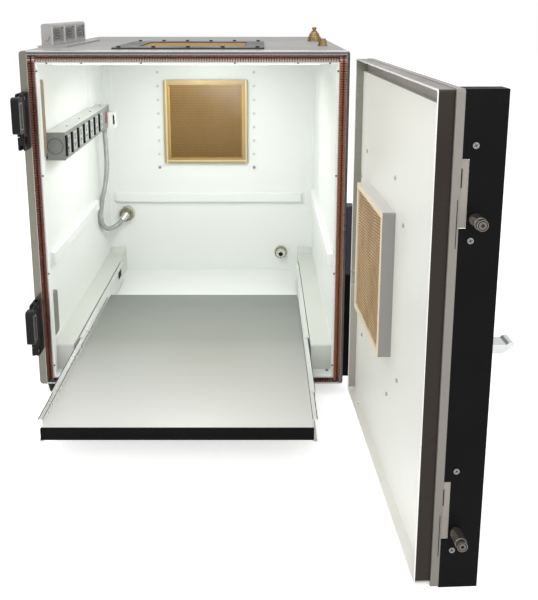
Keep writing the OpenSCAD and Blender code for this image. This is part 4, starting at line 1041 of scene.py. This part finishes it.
# %% Ball cages and painted gap shade
CAGE_AND_GAP_SLOT = {
    "cabinet": "slide_outer_left",
    "slide_middle_left": "slide_mid_left",
    "slide_middle_right": "slide_mid_right",
    "tray": "slide_inners",
}
OUTER_STRIPS = [  # x0, x1, y0, y1, z0, z1 on the right side
    (0.2141, 0.2154, 0.374, 0.566, 0.07930, 0.0797),
    (0.2201, 0.2215, 0.530, 0.564, 0.0500, 0.0790),
    (0.2218, 0.2230, 0.080, 0.570, 0.0809, 0.0813),
]
MIDDLE_STRIPS = [
    (0.2119, 0.2127, -0.149, 0.066, 0.07772, 0.0781),
    (0.2128, 0.2190, -0.1512, -0.1470, 0.0560, 0.0761),
    (0.2189, 0.2199, -0.151, 0.078, 0.0791, 0.0795),
]
INNER_STRIPS = [
    (0.2166, 0.2178, -0.246, -0.153, 0.0775, 0.0779),
    (0.2098, 0.2106, -0.246, 0.320, 0.0775, 0.0779),
]


def mirrored_box(shape, side, strip):
    """A strip on the right side, or its mirror image on the left where side is -1."""
    x0, x1, y0, y1, z0, z1 = strip
    a, b = sorted((side * x0, side * x1))
    shape.box((a, y0, z0), (b, y1, z1))


cage_and_gap_strips = {rider: Shape() for rider in CAGE_AND_GAP_SLOT}
for side, middle in ((-1, "slide_middle_left"), (1, "slide_middle_right")):
    for rider, strips in (("cabinet", OUTER_STRIPS), (middle, MIDDLE_STRIPS),
                          ("tray", INNER_STRIPS)):
        for strip in strips:
            mirrored_box(cage_and_gap_strips[rider], side, strip)
for rider, shape in cage_and_gap_strips.items():
    made = shape.become("cage_and_gap_shade_" + rider, slot_black, rider, slot=CAGE_AND_GAP_SLOT[rider])
    print(made.name, faces_of(made))

# %% [markdown]
# ## Floor, backdrop and light
# A plain pale floor carries the shadow. A white picture could be had by more light, but that
# would bleach the cabinet. So the camera, and glossy metal, see the floor lifted to white by
# Light Path, while everything else gets the soft level light of a tent.

# %% Floor
FLOOR_HALF = 12.0  # metres
FLOOR_PAINT = (0.86, 0.86, 0.86)
LIFT_SEEN, LIFT_GLOSS = 0.55, 0.38  # glow of the floor to the camera, and in gloss


def white_to_camera(tree, color, lift_seen, lift_gloss):
    """A pale floor that the camera and gloss see lifted to white, with its shadow kept."""
    pale = tree.nodes["Principled BSDF"].inputs
    pale["Base Color"].default_value = (*color, 1)
    pale["Roughness"].default_value = 0.9
    pale["Emission Color"].default_value = (1, 1, 1, 1)
    ray = tree.nodes.new("ShaderNodeLightPath").outputs
    seen = math_of(tree, "MULTIPLY", ray["Is Camera Ray"], lift_seen)
    gloss = math_of(tree, "MULTIPLY", ray["Is Glossy Ray"], lift_gloss)
    feed(tree, pale["Emission Strength"], math_of(tree, "MAXIMUM", seen, gloss))


floor_mesh = bpy.data.meshes.new("studio_floor")
S = FLOOR_HALF
floor_mesh.from_pydata([(-S, -S, 0), (S, -S, 0), (S, S, 0), (-S, S, 0)], [], [(0, 1, 2, 3)])
floor_paint = bpy.data.materials.new("floor_pale")
floor_paint.use_nodes = True
white_to_camera(floor_paint.node_tree, FLOOR_PAINT, LIFT_SEEN, LIFT_GLOSS)
floor_mesh.materials.append(floor_paint)
studio_floor = bpy.data.objects.new("studio_floor", floor_mesh)
collection.objects.link(studio_floor)
print("floor of", 2 * FLOOR_HALF, "m")

# %% World
TENT_LIGHT = 0.62  # strength for all but camera, gloss and glass rays
world = bpy.data.worlds.new("soft_tent")
bpy.context.scene.world = world
world.use_nodes = True
sky = world.node_tree
tent = sky.nodes["Background"].inputs
tent["Color"].default_value = (1, 1, 1, 1)
ray = sky.nodes.new("ShaderNodeLightPath").outputs
seen = math_of(sky, "MAXIMUM", ray["Is Camera Ray"], ray["Is Glossy Ray"])
through = math_of(sky, "MAXIMUM", seen, ray["Is Transmission Ray"])
feed(sky, tent["Strength"], spread(sky, through, 0.0, 1.0, TENT_LIGHT, 1.0))
print("tent light", TENT_LIGHT)

# %% [markdown]
# ## Lamps
# One broad lamp above and two at the sides shape the object, and a low one in front reaches into
# the open cabinet. In the chamber, a small lamp under the ceiling stands for the light strip, and
# a soft round one in the middle for the light that the white walls throw about. It would show as
# a ball, so the camera doesn't see it.

# %% Lamps
def hang(name, kind, at, watts):
    data = bpy.data.lights.new(name, kind)
    data.energy = watts
    lamp = bpy.data.objects.new(name, data)
    lamp.location = at
    collection.objects.link(lamp)
    return lamp


def soft_lamp(name, at, look, size, watts):
    """A rectangular lamp at one point that looks at another."""
    lamp = hang(name, "AREA", at, watts)
    lamp.data.shape = "RECTANGLE"
    lamp.data.size, lamp.data.size_y = size
    lamp.rotation_euler = (Vector(look) - Vector(at)).to_track_quat("-Z", "Y").to_euler()


soft_lamp("overhead_softbox", (0.0, -0.3, 2.6), (0.0, 0.1, 0.3), (2.4, 2.4), 26)
soft_lamp("front_left_softbox", (-1.9, -2.3, 1.5), (0.1, 0.0, 0.3), (1.6, 1.6), 20)
soft_lamp("front_right_softbox", (1.6, -2.6, 1.2), (0.0, 0.3, 0.3), (1.6, 1.6), 16)
soft_lamp("chamber_lamp", (0.0, 0.30, 0.575), (0.0, 0.36, 0.1), (0.14, 0.30), 1.4)
chamber_glow = hang("chamber_glow", "POINT", (-0.05, 0.24, 0.46), 0.7)
chamber_glow.data.shadow_soft_size = 0.10
chamber_glow.visible_camera = False
soft_lamp("front_fill", (0.1, -1.7, 1.15), (0.0, 0.5, 0.05), (1.0, 1.0), 5)
print("lamps:", len(bpy.data.lights))
